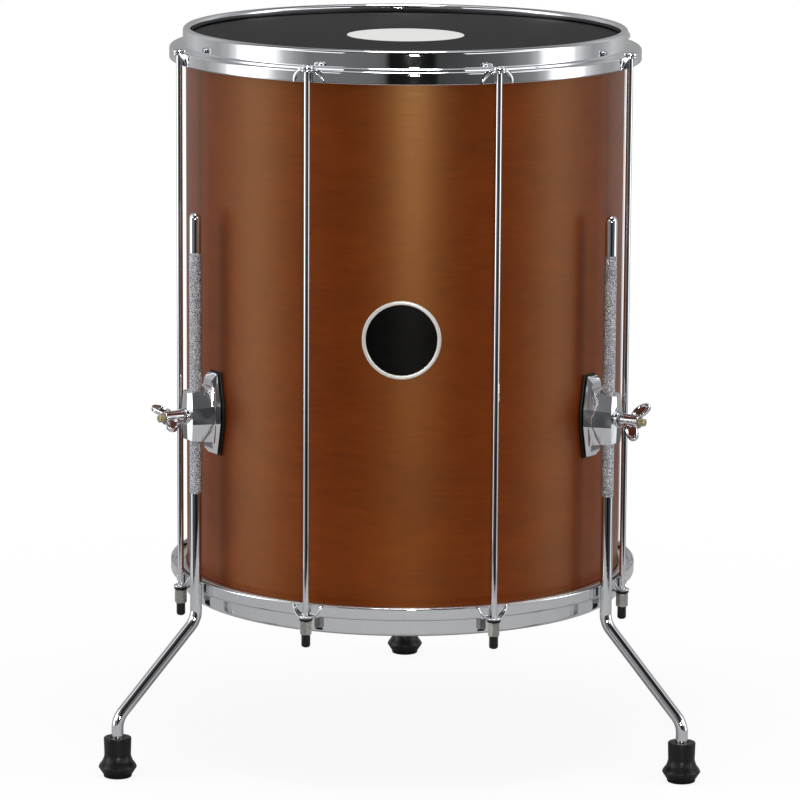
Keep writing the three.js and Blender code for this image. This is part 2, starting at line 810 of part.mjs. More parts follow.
const legPlaces = { left: -legAngle, right: legAngle, rear: rearLegAngle };
for (const [side, angle] of Object.entries(legPlaces)) {
  const bracketFrame = outwardFrame(angle, bracketHeight);
  addPiece(`bracket_gasket_${side}`, gasketGeometry(), 'rubber', bracketFrame);
  addPiece(`leg_bracket_${side}`, bracketGeometry(), 'chrome', bracketFrame);
  addPiece(`eye_bolt_${side}`, eyeBoltGeometry(), 'brass', bracketFrame);
  addPiece(`clamp_washer_${side}`, clampWasherGeometry(), 'zinc', bracketFrame);
  addPiece(`wing_nut_${side}`, wingNutGeometry(wingTurns[side]), 'chrome', bracketFrame);
  const upper = addPiece(`upper_bracket_screw_${side}`, screwGeometry(), 'zinc', bracketFrame);
  upper.position.z = screwSpacing / 2;
  const lower = addPiece(`lower_bracket_screw_${side}`, screwGeometry(), 'zinc', bracketFrame);
  lower.position.z = -screwSpacing / 2;
  addPiece(`leg_${side}`, legGeometry(), 'chrome', outwardFrame(angle, 0));
  addPiece(`rubber_foot_${side}`, footGeometry(), 'rubber').position.copy(around(angle, footCircle));
}

// The origin is under the middle of the whole object's box: the rear foot reaches
// further back than the hoop's skirt reaches forwards.
const rearReach = footCircle + footFlareDiameter / 2;
surdo.position.y = -(rearReach - skirtRadius) / 2;

export default surdo;
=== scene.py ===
"""A surdo on three adjustable legs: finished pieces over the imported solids, and the studio.

Sizes are millimetres from the drum's own axis, with the floor at zero and the badge towards -Y.
in_metres() puts them into the frame.
"""

from math import acos, atan2, cos, hypot, pi, radians, sin, sqrt, tan

import bmesh
import bpy
from mathutils import Matrix, Vector


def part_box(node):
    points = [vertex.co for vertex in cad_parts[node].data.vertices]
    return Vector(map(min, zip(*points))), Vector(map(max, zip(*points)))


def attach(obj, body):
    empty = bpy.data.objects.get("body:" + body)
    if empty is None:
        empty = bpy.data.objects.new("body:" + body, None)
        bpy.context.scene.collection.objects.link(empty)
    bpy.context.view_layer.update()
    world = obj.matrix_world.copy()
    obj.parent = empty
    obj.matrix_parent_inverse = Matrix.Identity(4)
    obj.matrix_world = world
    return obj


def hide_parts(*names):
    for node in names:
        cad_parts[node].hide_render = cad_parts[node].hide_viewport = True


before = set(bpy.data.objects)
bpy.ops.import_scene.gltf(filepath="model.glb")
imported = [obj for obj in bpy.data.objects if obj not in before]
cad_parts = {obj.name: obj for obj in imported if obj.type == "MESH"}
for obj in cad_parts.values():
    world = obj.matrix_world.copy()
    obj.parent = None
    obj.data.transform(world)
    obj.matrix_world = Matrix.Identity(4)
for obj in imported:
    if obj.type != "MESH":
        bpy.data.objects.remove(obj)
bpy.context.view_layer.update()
shell_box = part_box("shell")

FULL = 2 * pi
QUARTER = pi / 2
AXIS_Y = (shell_box[0][1] + shell_box[1][1]) / 2
TINY = 1e-6

# Heights above the floor
DRUM_BOTTOM = 160.1
DRUM_DEPTH = 596.6
DRUM_TOP = DRUM_BOTTOM + DRUM_DEPTH
BRACKET_HEIGHT = 370.1
BADGE_HEIGHT = 465.4

# Fits, and how far a cutting tool runs past what it cuts
GAP = 0.3
BORE_GAP = 0.4
OVERRUN = 2
SHELL_OVERRUN = 4

# How finely round things are cut
DRUM_SIDES = 256
LARGE_SIDES = 96
FOOT_SIDES = 72
EYE_SIDES = 64
MIDDLE_SIDES = 48
ROD_SIDES = 40
SMALL_SIDES = 32
DRILL_SIDES = 24

# The bend in degrees past which an edge stays sharp
SHARP = 32
FACET_SHARP = 28
THREAD_SHARP = 40
SHEET_SHARP = 50
MOULD_SHARP = 60

# Shell and heads
SHELL_R = 228.6
SHELL_WALL = 7
SHELL_IN = SHELL_R - SHELL_WALL
EDGE_W = 2.4
EDGE_H = 3.4
EDGE_HOLD = 1
HEAD_DEPTH = 9.1
FILM = 0.6
FILM_LIP = 3.2
COLLAR_BEND = 3.2
TOP_FILM = DRUM_TOP - HEAD_DEPTH
BOTTOM_FILM = DRUM_BOTTOM + HEAD_DEPTH
SHELL_TOP = TOP_FILM - FILM - GAP
SHELL_LOW = BOTTOM_FILM + FILM + GAP
FILM_IN = SHELL_R + GAP
FILM_OUT = FILM_IN + FILM
FLESH_W = 6.4
FLESH_H = 9
FLESH_LIP = 1.6
PATCH_R = 61

# Hoops and their ears
SHEET = 1.8
HOOP_H = 32.4
BEAD_R = 4.2
BEAD_LIP = 3
SHELF_DROP = 18
SHELF_SLOPE = 1.4
SHEET_BEND = 2.4
HOOP_IN = FILM_OUT + 0.4
BAND_R = HOOP_IN + SHEET
SKIRT_R = BAND_R + 14.1
SKIRT_IN = SKIRT_R - SHEET
FLESH_TOP = -(SHELF_DROP + SHEET + 1.6 - HEAD_DEPTH + GAP)
EARS = 8
EAR_ANGLE = FULL / EARS
TONGUE_DROP = SHELF_DROP + 0.8
TONGUE_T = 2
TONGUE_HALF = 7.4
TONGUE_EDGE = 0.7
MOUTH_HALF = 16
GUSSET = 1.5

# Tension rods and what is on them
ROD_D = 6.35
ROD_CIRCLE = SKIRT_R + 0.2 + ROD_D / 2
ROD_BORE = ROD_D + 0.7
HEAD_D = 14
HEAD_H = 3
DISH_R = 5.4
DISH_DEPTH = 1.1
WASHER_T = 2.3
NUT_AF = 11
NUT_H = 14.3
NUT_CHAMFER_RISE = 1.3
CAP_D = 9.2
CAP_L = 13
ROD_IN_CAP = 3
TONGUE_TOP = DRUM_TOP - TONGUE_DROP
WASHER_TOP = DRUM_BOTTOM + TONGUE_DROP - GAP
NUT_TOP = WASHER_TOP - WASHER_T - GAP
CAP_TOP = NUT_TOP - NUT_H - GAP

# Legs and feet
LEG_D = 12.4
KNURL_D = 12.9
LEG_CIRCLE = SKIRT_R + 1.25 + KNURL_D / 2
FOOT_SPREAD = 93.7
FOOT_CIRCLE = LEG_CIRCLE + FOOT_SPREAD
LEG_TOP = 579.9
LEG_TIP = 6.2
KNURL_TOP = 538.7
KNURL_LOW = 288.3
KNEE = 154.6
BEND_R = 24
SPLAY = pi / 4
FOOT_SOLE = 11
FOOT_H = 41.8
LEG_PLACES = {"left": radians(-56.7), "right": radians(56.7), "rear": pi}

# Brackets and clamps
GASKET_FACE = SHELL_R + GAP + 2
GASKET_BORDER = 2.8
BRACKET_BACK = GASKET_FACE + GAP
BRACKET_SHELF = BRACKET_BACK + 7.2
BASE_W = 32
BASE_END_W = 18
BASE_H = 84
WAIST = 18
HOUSING_W = BASE_W - 3.8
HOUSING_H = BASE_H - 30
SCREW_RISE = (BASE_H - 16) / 2
SCREW_D = 5
DRILL_R = 2.8
EYE_IN = KNURL_D / 2 + 1.15
EYE_OUT = EYE_IN + 2.8
EYE_HALF = 5.5
EYE_CENTRE = LEG_CIRCLE + EYE_IN - KNURL_D / 2 - GAP
CAVITY_END = EYE_CENTRE + EYE_OUT + BORE_GAP
CAVITY_HALF = 6
HOUSING_FACE = CAVITY_END + 0.75
BOSS_FACE = HOUSING_FACE + 2.4
BOSS_D = 17
STUD_D = 8
STUD_R = STUD_D / 2
SHANK_R = 3.35
THREAD_PITCH = 1.25
CLAMP_T = 1.5
CLAMP_NEAR = BOSS_FACE + GAP
WING_NEAR = CLAMP_NEAR + CLAMP_T + GAP
WING_FAR = WING_NEAR + 19
STUD_FAR = WING_FAR + 10
WING_TURNS = {"left": 65, "right": -43, "rear": 20}

# Badge
BADGE_R = 40
BADGE_RIM = 3.9
DISC_T = 1
RIM_T = 1.5


# Forms


class Form:
    """Points in millimetres and the faces between them."""

    def __init__(self, points=(), faces=()):
        self.points = [Vector(p) for p in points]
        self.faces = [tuple(f) for f in faces]

    def moved(self, matrix):
        return Form([matrix @ p for p in self.points], self.faces)

    def __add__(self, other):
        shift = len(self.points)
        faces = self.faces + [tuple(i + shift for i in f) for f in other.faces]
        return Form(self.points + other.points, faces)


def loft(rings, loop=False):
    """Joins rings of points in order. A ring of one point is a pole."""
    form = Form()
    starts = []
    for ring in rings:
        starts.append(len(form.points))
        form.points.extend(Vector(p) for p in ring)
    pairs = [(i, i + 1) for i in range(len(rings) - 1)]
    if loop:
        pairs.append((len(rings) - 1, 0))
    for low, high in pairs:
        a, b = starts[low], starts[high]
        count = max(len(rings[low]), len(rings[high]))
        for i in range(count):
            j = (i + 1) % count
            if len(rings[low]) == 1:
                form.faces.append((a, b + j, b + i))
            elif len(rings[high]) == 1:
                form.faces.append((a + i, a + j, b))
            else:
                form.faces.append((a + i, a + j, b + j, b + i))
    return form


def capped(rings):
    """A loft whose first and last rings are closed by flat faces."""
    form = loft(rings)
    count = len(rings[0])
    last = len(form.points) - count
    form.faces.append(tuple(range(count)))
    form.faces.append(tuple(range(last, last + count)))
    return form


def circle(radius, height, sides):
    """A level ring of points about the Z axis."""
    steps = [FULL * k / sides for k in range(sides)]
    return [(radius * cos(t), radius * sin(t), height) for t in steps]


def quarter_steps(count):
    """Even angles from zero to a quarter turn."""
    return [QUARTER * k / count for k in range(count + 1)]


def turned(profile, sides, loop=False):
    """A profile of (radius, height) turned about the Z axis."""
    return loft([[(0, 0, h)] if r < TINY else circle(r, h, sides) for r, h in profile], loop)


def bar(radius, near, far, sides=SMALL_SIDES):
    """A plain upright bar from one height to another."""
    return turned([(0, near), (radius, near), (radius, far), (0, far)], sides)


def rounded(corners, steps=4, closed=True):
    """A profile from (x, y, radius) corners, each rounded by its radius."""
    points = []
    count = len(corners)
    for index, (x, y, radius) in enumerate(corners):
        at_end = not closed and index in (0, count - 1)
        if radius <= 0 or at_end:
            points.append((x, y))
            continue
        here = Vector((x, y))
        back = (Vector(corners[index - 1][:2]) - here).normalized()
        ahead = (Vector(corners[(index + 1) % count][:2]) - here).normalized()
        half = acos(max(-1, min(1, back.dot(ahead)))) / 2
        centre = here + (back + ahead).normalized() * (radius / sin(half))
        start = here + back * (radius / tan(half)) - centre
        end = here + ahead * (radius / tan(half)) - centre
        first = atan2(start.y, start.x)
        sweep = (atan2(end.y, end.x) - first + pi) % FULL - pi
        for angle in [first + sweep * step / steps for step in range(steps + 1)]:
            points.append((centre.x + radius * cos(angle), centre.y + radius * sin(angle)))
    return points


def lathe(corners, sides, steps=4, closed=False):
    """A profile of (radius, height, rounding) corners turned about the Z axis."""
    return turned(rounded(corners, steps, closed), sides, closed)


def collar(inner, outer, low, high, inner_round, outer_round, sides):
    """A plain ring with rounded edges."""
    corners = [
        (inner, low, inner_round), (outer, low, outer_round), (outer, high, outer_round),
        (inner, high, inner_round),
    ]
    return lathe(corners, sides, closed=True)


def heading(line, index):
    """The way that a line of points runs at one of them."""
    return (line[min(index + 1, len(line) - 1)] - line[max(index - 1, 0)]).normalized()


def half_round(tip, flank, steps, turn=-1):
    """Points on a half circle about the tip of a sheet, from its flank."""
    spoke = flank - tip
    points = []
    for k in range(1, steps):
        c, s = cos(turn * pi * k / steps), sin(turn * pi * k / steps)
        points.append(tip + Vector((c * spoke.x - s * spoke.y, s * spoke.x + c * spoke.y)))
    return points


def sheet_outline(path, thickness, end_steps):
    """The closed outline of bent sheet metal from the middle line of its section."""
    line = [Vector(p) for p in path]
    left, right = [], []
    for index, here in enumerate(line):
        way = heading(line, index)
        across = Vector((-way.y, way.x)) * (thickness / 2)
        left.append(here + across)
        right.append(here - across)
    outline = left + half_round(line[-1], left[-1], end_steps)
    outline += right[::-1] + half_round(line[0], right[0], end_steps)
    return [(p.x, p.y) for p in outline]


def lying(form):
    """The same form lying along +X."""
    return form.moved(Matrix.Rotation(QUARTER, 4, "Y"))


def upturned(form):
    """A form drawn for the top of the drum, turned over for its bottom."""
    return form.moved(Matrix.Rotation(pi, 4, "X"))


def at_height(form, height):
    return form.moved(Matrix.Translation((0, 0, height)))


def outward(angle, height=0):
    """A frame whose +X points away from the drum's axis."""
    return Matrix.Translation((0, 0, height)) @ Matrix.Rotation(angle - QUARTER, 4, "Z")


def in_metres(point):
    return (point.x / 1000, point.y / 1000 + AXIS_Y, point.z / 1000)


def about_axis(point):
    return (point.x / 1000, point.y / 1000, point.z / 1000)


def smoothed(mesh, sharp=SHARP):
    """Outward faces, smooth but for edges sharper than the angle."""
    bm = bmesh.new()
    bm.from_mesh(mesh)
    bmesh.ops.remove_doubles(bm, verts=bm.verts, dist=1e-7)
    bmesh.ops.dissolve_degenerate(bm, edges=bm.edges, dist=1e-7)
    bmesh.ops.recalc_face_normals(bm, faces=bm.faces)
    for face in bm.faces:
        face.smooth = True
    limit = radians(sharp)
    for edge in bm.edges:
        edge.smooth = len(edge.link_faces) == 2 and edge.calc_face_angle() < limit
    bm.to_mesh(mesh)
    bm.free()
    mesh.update()


def in_scene(name, data):
    obj = bpy.data.objects.new(name, data)
    bpy.context.scene.collection.objects.link(obj)
    return obj


def built(name, form, material, sharp=SHARP, place=in_metres):
    """An object made from a form, with its finish."""
    mesh = bpy.data.meshes.new(name)
    mesh.from_pydata([place(p) for p in form.points], [], form.faces)
    smoothed(mesh, sharp)
    mesh.materials.append(material)
    return in_scene(name, mesh)


def settled(obj):
    """The object with its modifiers turned into plain mesh."""
    bpy.context.view_layer.update()
    graph = bpy.context.evaluated_depsgraph_get()
    mesh = bpy.data.meshes.new_from_object(obj.evaluated_get(graph), depsgraph=graph)
    mesh.name = obj.name
    obj.modifiers.clear()
    obj.data = mesh
    return obj


def boolean(obj, operation, form, place=about_axis):
    """Joins or cuts with another form, which is then thrown away."""
    tool = built(obj.name + "_tool", form, obj.data.materials[0], place=place)
    step = obj.modifiers.new(operation, "BOOLEAN")
    step.operation = operation
    step.solver = "EXACT"
    step.object = tool
    settled(obj)
    bpy.data.objects.remove(tool)


def mesh_of(obj):
    """The mesh of an object that has served its turn."""
    mesh = obj.data
    bpy.data.objects.remove(obj)
    return mesh


def placed(name, mesh, matrix, material):
    """A copy of a local mesh (metres about the axis) at its place in the frame."""
    copy = mesh.copy()
    copy.name = name
    metric = matrix.copy()
    metric.translation = metric.translation / 1000
    copy.transform(Matrix.Translation((0, AXIS_Y, 0)) @ metric)
    copy.materials.clear()
    copy.materials.append(material)
    return in_scene(name, copy)


def coffin(distance, width, end_width, waist, height, end_distance=None):
    """Corners of a long eight-sided outline at one distance from the axis."""
    end_distance = distance if end_distance is None else end_distance
    corners = []
    for side in (1, -1):
        for up in (1, -1):
            corners.append((distance, side * width / 2, up * waist / 2))
            corners.append((end_distance, side * end_width / 2, up * height / 2))
    return corners


def hull(points):
    """The convex hull of points, with its flat facets whole."""
    bm = bmesh.new()
    for point in points:
        bm.verts.new(point)
    made = bmesh.ops.convex_hull(bm, input=bm.verts)
    spare = made["geom_interior"] + made["geom_unused"]
    loose = {v for v in spare if isinstance(v, bmesh.types.BMVert)}
    bmesh.ops.delete(bm, geom=list(loose), context="VERTS")
    bmesh.ops.dissolve_limit(bm, angle_limit=0.01, verts=bm.verts, edges=bm.edges)
    bm.verts.ensure_lookup_table()
    bm.verts.index_update()
    form = Form([v.co.copy() for v in bm.verts], [[v.index for v in f.verts] for f in bm.faces])
    bm.free()
    return form


def hull_of(*outlines):
    """The convex hull of several coffin outlines."""
    return hull([corner for outline in outlines for corner in coffin(*outline)])


def bevelled(obj, width_of, segments=3, widest=2.4, flat=0.12):
    """Rounds each sharp edge by the width that width_of gives for its middle, in millimetres."""
    bm = bmesh.new()
    bm.from_mesh(obj.data)
    bmesh.ops.dissolve_limit(bm, angle_limit=0.01, verts=bm.verts, edges=bm.edges)
    layer = bm.edges.layers.float.new("bevel_weight_edge")
    for edge in bm.edges:
        if len(edge.link_faces) == 2 and edge.calc_face_angle() > flat:
            middle = (edge.verts[0].co + edge.verts[1].co) / 2 * 1000
            edge[layer] = min(width_of(middle) / widest, 1)
    bm.to_mesh(obj.data)
    bm.free()
    step = obj.modifiers.new("soft_edges", "BEVEL")
    step.limit_method = "WEIGHT"
    step.width = widest / 1000
    step.segments = segments
    step.use_clamp_overlap = True
    step.harden_normals = False
    settled(obj)


# Node helpers


class Nodes:
    """Adds nodes to a tree; inputs may be values or sockets."""

    def __init__(self, tree):
        self.tree = tree

    def add(self, kind, inputs=None, **settings):
        node = self.tree.nodes.new(kind)
        for key, value in settings.items():
            setattr(node, key, value)
        for key, value in (inputs or {}).items():
            if isinstance(value, bpy.types.NodeSocket):
                self.tree.links.new(value, node.inputs[key])
            else:
                node.inputs[key].default_value = value
        return node

    def math(self, operation, *values):
        return self.add("ShaderNodeMath", dict(enumerate(values)), operation=operation).outputs[0]

    def vector(self, operation, *values):
        node = self.add("ShaderNodeVectorMath", dict(enumerate(values)), operation=operation)
        return node.outputs["Value" if operation == "LENGTH" else "Vector"]

    def remap(self, value, low, high, to_low=0.0, to_high=1.0, **settings):
        """A value carried from one range to another and held there."""
        given = {"Value": value, "From Min": low, "From Max": high}
        given.update({"To Min": to_low, "To Max": to_high})
        return self.add("ShaderNodeMapRange", given, **settings).outputs[0]

    def noise(self, place, size, detail, roughness, distortion=0.0):
        given = {"Vector": place, "Scale": size, "Detail": detail}
        given.update({"Roughness": roughness, "Distortion": distortion})
        return self.add("ShaderNodeTexNoise", given).outputs["Fac"]

    def mixed(self, share, first, second):
        """Two colours mixed."""
        given = {"Factor": share, 6: first, 7: second}
        return self.add("ShaderNodeMix", given, data_type="RGBA").outputs[2]

    def shaders(self, share, first, second):
        """Two shaders mixed."""
        return self.add("ShaderNodeMixShader", {0: share, 1: first, 2: second}).outputs[0]


FLOAT = "NodeSocketFloat"
COLOUR = "NodeSocketColor"
VECTOR = "NodeSocketVector"
INTEGER = "NodeSocketInt"
GEOMETRY = "NodeSocketGeometry"
MATERIAL = "NodeSocketMaterial"
BLACK = (0, 0, 0, 1)
WHITE = (1, 1, 1, 1)
SURFACE = [("Colour", COLOUR), ("Roughness", FLOAT), ("Height", FLOAT)]


def node_group(kind, name, given, gives):
    """A new group with its named inputs and outputs."""
    tree = bpy.data.node_groups.new(name, kind)
    for label, socket_type, value in given:
        socket = tree.interface.new_socket(name=label, in_out="INPUT", socket_type=socket_type)
        if value is not None:
            socket.default_value = value
    for label, socket_type in gives:
        tree.interface.new_socket(name=label, in_out="OUTPUT", socket_type=socket_type)
    n = Nodes(tree)
    return tree, n, n.add("NodeGroupInput").outputs


def geometry_group(name, given):
    base = [("Geometry", GEOMETRY, None)]
    return node_group("GeometryNodeTree", name, base + given, [("Geometry", GEOMETRY)])


def finish_tree(n, parts, finish, marked=None, marked_finish=None):
    """Joins the parts and paints them; faces that carry the mark get their own finish."""
    joined = n.add("GeometryNodeJoinGeometry")
    for part in parts:
        n.tree.links.new(part, joined.inputs[0])
    real = n.add("GeometryNodeRealizeInstances", {0: joined.outputs[0]})
    painted = n.add("GeometryNodeSetMaterial", {"Geometry": real.outputs[0], "Material": finish})
    if marked:
        mark = n.add("GeometryNodeInputNamedAttribute", {"Name": marked}, data_type="BOOLEAN")
        chosen = {"Selection": mark.outputs[0], "Material": marked_finish}
        painted = n.add("GeometryNodeSetMaterial", {"Geometry": painted.outputs[0], **chosen})
    n.add("NodeGroupOutput", {0: painted.outputs[0]})


def grown(obj, tree, **values):
    """The object's mesh as the tree makes it from these named inputs."""
    step = obj.modifiers.new(tree.name, "NODES")
    step.node_group = tree
    sockets = {s.name: s.identifier for s in tree.interface.items_tree if s.in_out == "INPUT"}
    for name, value in values.items():
        step[sockets[name.replace("_", " ")]] = value
    return settled(obj)


# Copies of one object in a ring about the drum's axis.
ring_tree, n, given = geometry_group(
    "ring_of_copies",
    [
        ("Copy", "NodeSocketObject", None), ("Count", INTEGER, EARS), ("First angle", FLOAT, 0.0),
        ("Axis", VECTOR, (0, 0, 0)), ("Finish", MATERIAL, None),
    ],
)
ring_points = n.add("GeometryNodePoints", {"Count": given["Count"], "Position": given["Axis"]})
ring_index = n.add("GeometryNodeInputIndex").outputs[0]
ring_share = n.math("DIVIDE", ring_index, given["Count"])
ring_angle = n.math("MULTIPLY_ADD", ring_share, FULL, given["First angle"])
ring_euler = n.add("ShaderNodeCombineXYZ", {"Z": ring_angle}).outputs[0]
ring_turn = n.add("FunctionNodeEulerToRotation", {0: ring_euler}).outputs[0]
ring_copy = n.add("GeometryNodeObjectInfo", {"Object": given["Copy"], "As Instance": True})
ring_of = {"Points": ring_points.outputs[0], "Instance": ring_copy.outputs["Geometry"]}
ring_placed = n.add("GeometryNodeInstanceOnPoints", {**ring_of, "Rotation": ring_turn})
finish_tree(n, [given["Geometry"], ring_placed.outputs[0]], given["Finish"])


def wrapped_grid(n, given, relief_of):
    """A grid wrapped round an upright axis with flat ends; relief_of gives each point's depth."""
    columns, rows = given["Columns"], given["Rows"]
    counts = {"Vertices X": n.math("ADD", columns, 1), "Vertices Y": n.math("ADD", rows, 1)}
    grid = n.add("GeometryNodeMeshGrid", {"Size X": 1.0, "Size Y": 1.0, **counts})
    place = n.add("ShaderNodeSeparateXYZ", {0: n.add("GeometryNodeInputPosition").outputs[0]})

    def number_along(axis, count):
        share = n.math("ADD", place.outputs[axis], 0.5)
        return n.math("ROUND", n.math("MULTIPLY", share, count))

    column, row = number_along(0, columns), number_along(1, rows)
    last = n.math("SUBTRACT", rows, 1)
    inner = n.math("MINIMUM", n.math("MAXIMUM", row, 1), last)
    share = n.math("DIVIDE", n.math("SUBTRACT", inner, 1), n.math("SUBTRACT", rows, 2))
    length = n.math("SUBTRACT", given["High"], given["Low"])
    height = n.math("MULTIPLY_ADD", share, length, given["Low"])
    turn = n.math("DIVIDE", column, columns)
    relief = relief_of(column, row, turn, height)
    at_low_edge = n.math("LESS_THAN", row, 1.5)
    at_high_edge = n.math("GREATER_THAN", row, n.math("SUBTRACT", last, 0.5))
    at_edge = n.math("MAXIMUM", at_low_edge, at_high_edge)
    cut = n.math("MAXIMUM", relief, n.math("MULTIPLY", given["Depth"], at_edge))
    above_foot = n.math("GREATER_THAN", row, 0.5)
    under_top = n.math("LESS_THAN", row, n.math("ADD", last, 0.5))
    body = n.math("MULTIPLY", above_foot, under_top)
    radius = n.math("MULTIPLY", n.math("SUBTRACT", given["Radius"], cut), body)
    angle = n.math("MULTIPLY", turn, FULL)
    east = n.math("MULTIPLY", radius, n.math("COSINE", angle))
    north = n.math("MULTIPLY", radius, n.math("SINE", angle))
    spot = n.add("ShaderNodeCombineXYZ", {0: east, 1: north, 2: height}).outputs[0]
    skin = n.add("GeometryNodeSetPosition", {"Geometry": grid.outputs[0], "Position": spot})
    skin = n.add("GeometryNodeMergeByDistance", {"Geometry": skin.outputs[0], "Distance": TINY})
    skin = n.add("GeometryNodeTriangulate", {0: skin.outputs[0]}, quad_method="SHORTEST_DIAGONAL")
    stand = {"Translation": given["Centre"], "Rotation": given["Lean"]}
    return n.add("GeometryNodeTransform", {"Geometry": skin.outputs[0], **stand}).outputs[0]


RELIEF_INPUTS = [
    ("Columns", INTEGER, 60), ("Rows", INTEGER, 370), ("Radius", FLOAT, KNURL_D / 2000),
    ("Depth", FLOAT, 0.0003), ("Low", FLOAT, 0.0), ("High", FLOAT, 1.0),
    ("Pitch", FLOAT, THREAD_PITCH / 1000), ("Centre", VECTOR, (0, 0, 0)),
    ("Lean", "NodeSocketRotation", None), ("Finish", MATERIAL, None),
]

# The diamond knurl: every other point of the grid stands up.
knurl_tree, n, given = geometry_group(
    "knurled_sleeve", RELIEF_INPUTS + [("Sleeve finish", MATERIAL, None)]
)


def diamonds(column, row, turn, height):
    odd = n.math("MODULO", n.math("ADD", column, row), 2)
    return n.math("MULTIPLY", given["Depth"], odd)


knurl_skin = wrapped_grid(n, given, diamonds)
knurl_flat = n.add("GeometryNodeSetShadeSmooth", {"Geometry": knurl_skin, "Shade Smooth": False})
knurl_marked = n.add(
    "GeometryNodeStoreNamedAttribute",
    {"Geometry": knurl_flat.outputs[0], "Name": "knurled", "Value": True},
    data_type="BOOLEAN",
    domain="FACE",
)
knurl_parts = [given["Geometry"], knurl_marked.outputs[0]]
finish_tree(n, knurl_parts, given["Finish"], "knurled", given["Sleeve finish"])

# The screw thread: a groove that climbs one pitch a turn.
thread_tree, n, given = geometry_group("screw_thread", RELIEF_INPUTS)


def helix(column, row, turn, height):
    climb = n.math("SUBTRACT", n.math("DIVIDE", height, given["Pitch"]), turn)
    ridge = n.math("PINGPONG", climb, 0.5)
    return n.math("MULTIPLY", given["Depth"], n.math("MULTIPLY", ridge, 2))


thread_skin = wrapped_grid(n, given, helix)
finish_tree(n, [given["Geometry"], thread_skin], given["Finish"])


# Finishes

# A fine grain that varies the tone, the gloss and the height of any finish.
grain_tree, n, given = node_group(
    "ShaderNodeTree",
    "fine_grain",
    [
        ("Place", VECTOR, None), ("Size", FLOAT, 100.0), ("Detail", FLOAT, 3.0),
        ("Light", COLOUR, WHITE), ("Dark", COLOUR, BLACK), ("Glossy", FLOAT, 0.1),
        ("Dull", FLOAT, 0.2),
    ],
    SURFACE,
)
grain_mask = n.remap(n.noise(given["Place"], given["Size"], given["Detail"], 0.6), 0.3, 0.7)
grain_colour = n.mixed(grain_mask, given["Dark"], given["Light"])
grain_rough = n.remap(grain_mask, 0.0, 1.0, given["Glossy"], given["Dull"])
n.add("NodeGroupOutput", {0: grain_colour, 1: grain_rough, 2: grain_mask})

# Stained wood: long grain round the drum, pores and a slow change of tone.
wood_tree, n, given = node_group(
    "ShaderNodeTree",
    "stained_grain",
    [
        ("Place", VECTOR, None), ("Light", COLOUR, WHITE), ("Dark", COLOUR, BLACK),
        ("Pore", COLOUR, BLACK),
    ],
    SURFACE,
)


def grain_noise(squeeze, size, detail, distortion=0.0):
    """Noise drawn out along the grain by squeezing it in height."""
    squeezed = n.add("ShaderNodeMapping", {"Vector": given["Place"], "Scale": (1, 1, squeeze)})
    return n.noise(squeezed.outputs[0], size, detail, 0.62, distortion)


PORE_SHARE = 0.35
WOOD_GLOSSY = 0.36
WOOD_DULL = 0.41
figure = n.remap(grain_noise(1.8, 9.0, 3.0, 0.8), 0.32, 0.7)
fibres = n.remap(grain_noise(9, 34.0, 5.0, 0.3), 0.3, 0.72)
pores = n.remap(grain_noise(10, 120.0, 2.0), 0.62, 0.78)
tone = n.math("ADD", n.math("MULTIPLY", figure, 0.5), n.math("MULTIPLY", fibres, 0.5))
stain = n.mixed(tone, given["Dark"], given["Light"])
pored = n.mixed(n.math("MULTIPLY", pores, PORE_SHARE), stain, given["Pore"])
wood_rough = n.remap(fibres, 0.0, 1.0, WOOD_GLOSSY, WOOD_DULL)
n.add("NodeGroupOutput", {0: pored, 1: wood_rough, 2: n.math("SUBTRACT", fibres, pores)})

# The mask of the plain round print in the middle of the head.
print_tree, n, given = node_group(
    "ShaderNodeTree",
    "round_print",
    [("Place", VECTOR, None), ("Middle", VECTOR, (0, 0, 0)), ("Radius", FLOAT, 0.06)],
    [("Mask", FLOAT)],
)
print_from = n.vector("SUBTRACT", given["Place"], given["Middle"])
print_reach = n.vector("LENGTH", n.vector("MULTIPLY", print_from, (1, 1, 0)))
n.add("NodeGroupOutput", {0: n.math("LESS_THAN", print_reach, given["Radius"])})


def linear(*levels):
    """An sRGB colour of 0 to 255 as linear light."""
    shares = [level / 255 for level in levels]
    return (*(s / 12.92 if s <= 0.04045 else ((s + 0.055) / 1.055) ** 2.4 for s in shares), 1)


def new_material(name):
    material = bpy.data.materials.new(name)
    material.use_nodes = True
    material.node_tree.nodes.clear()
    return material, Nodes(material.node_tree)


def surface(n, tree, **looks):
    """The outputs of a finish's group, placed by the object's own coordinates."""
    place = n.add("ShaderNodeTexCoord").outputs["Object"]
    return n.add("ShaderNodeGroup", {"Place": place, **looks}, node_tree=tree).outputs


def shaded(n, looks, bump, **fixed):
    """A Principled shader fed by a group's colour, roughness and height."""
    strength, distance = bump
    relief = {"Strength": strength, "Distance": distance, "Height": looks["Height"]}
    fed = {"Base Color": looks["Colour"], "Roughness": looks["Roughness"]}
    fed["Normal"] = n.add("ShaderNodeBump", relief).outputs[0]
    fed.update({name.replace("_", " "): value for name, value in fixed.items()})
    shader = n.add("ShaderNodeBsdfPrincipled", fed)
    n.add("ShaderNodeOutputMaterial", {0: shader.outputs[0]})
    return shader


def grained(name, light, dark, gloss, size, bump, detail=3.0, **fixed):
    """A finish between two tones and two roughnesses, with a grain of one size and bump."""
    material, n = new_material(name)
    tones = {"Light": linear(*light), "Dark": linear(*dark)}
    grain = {"Size": size, "Detail": detail, "Glossy": gloss[0], "Dull": gloss[1]}
    shaded(n, surface(n, grain_tree, **tones, **grain), bump, **fixed)
    return material


def metal(name, *looks):
    """A grained finish of bare metal."""
    return grained(name, *looks, Metallic=1.0)


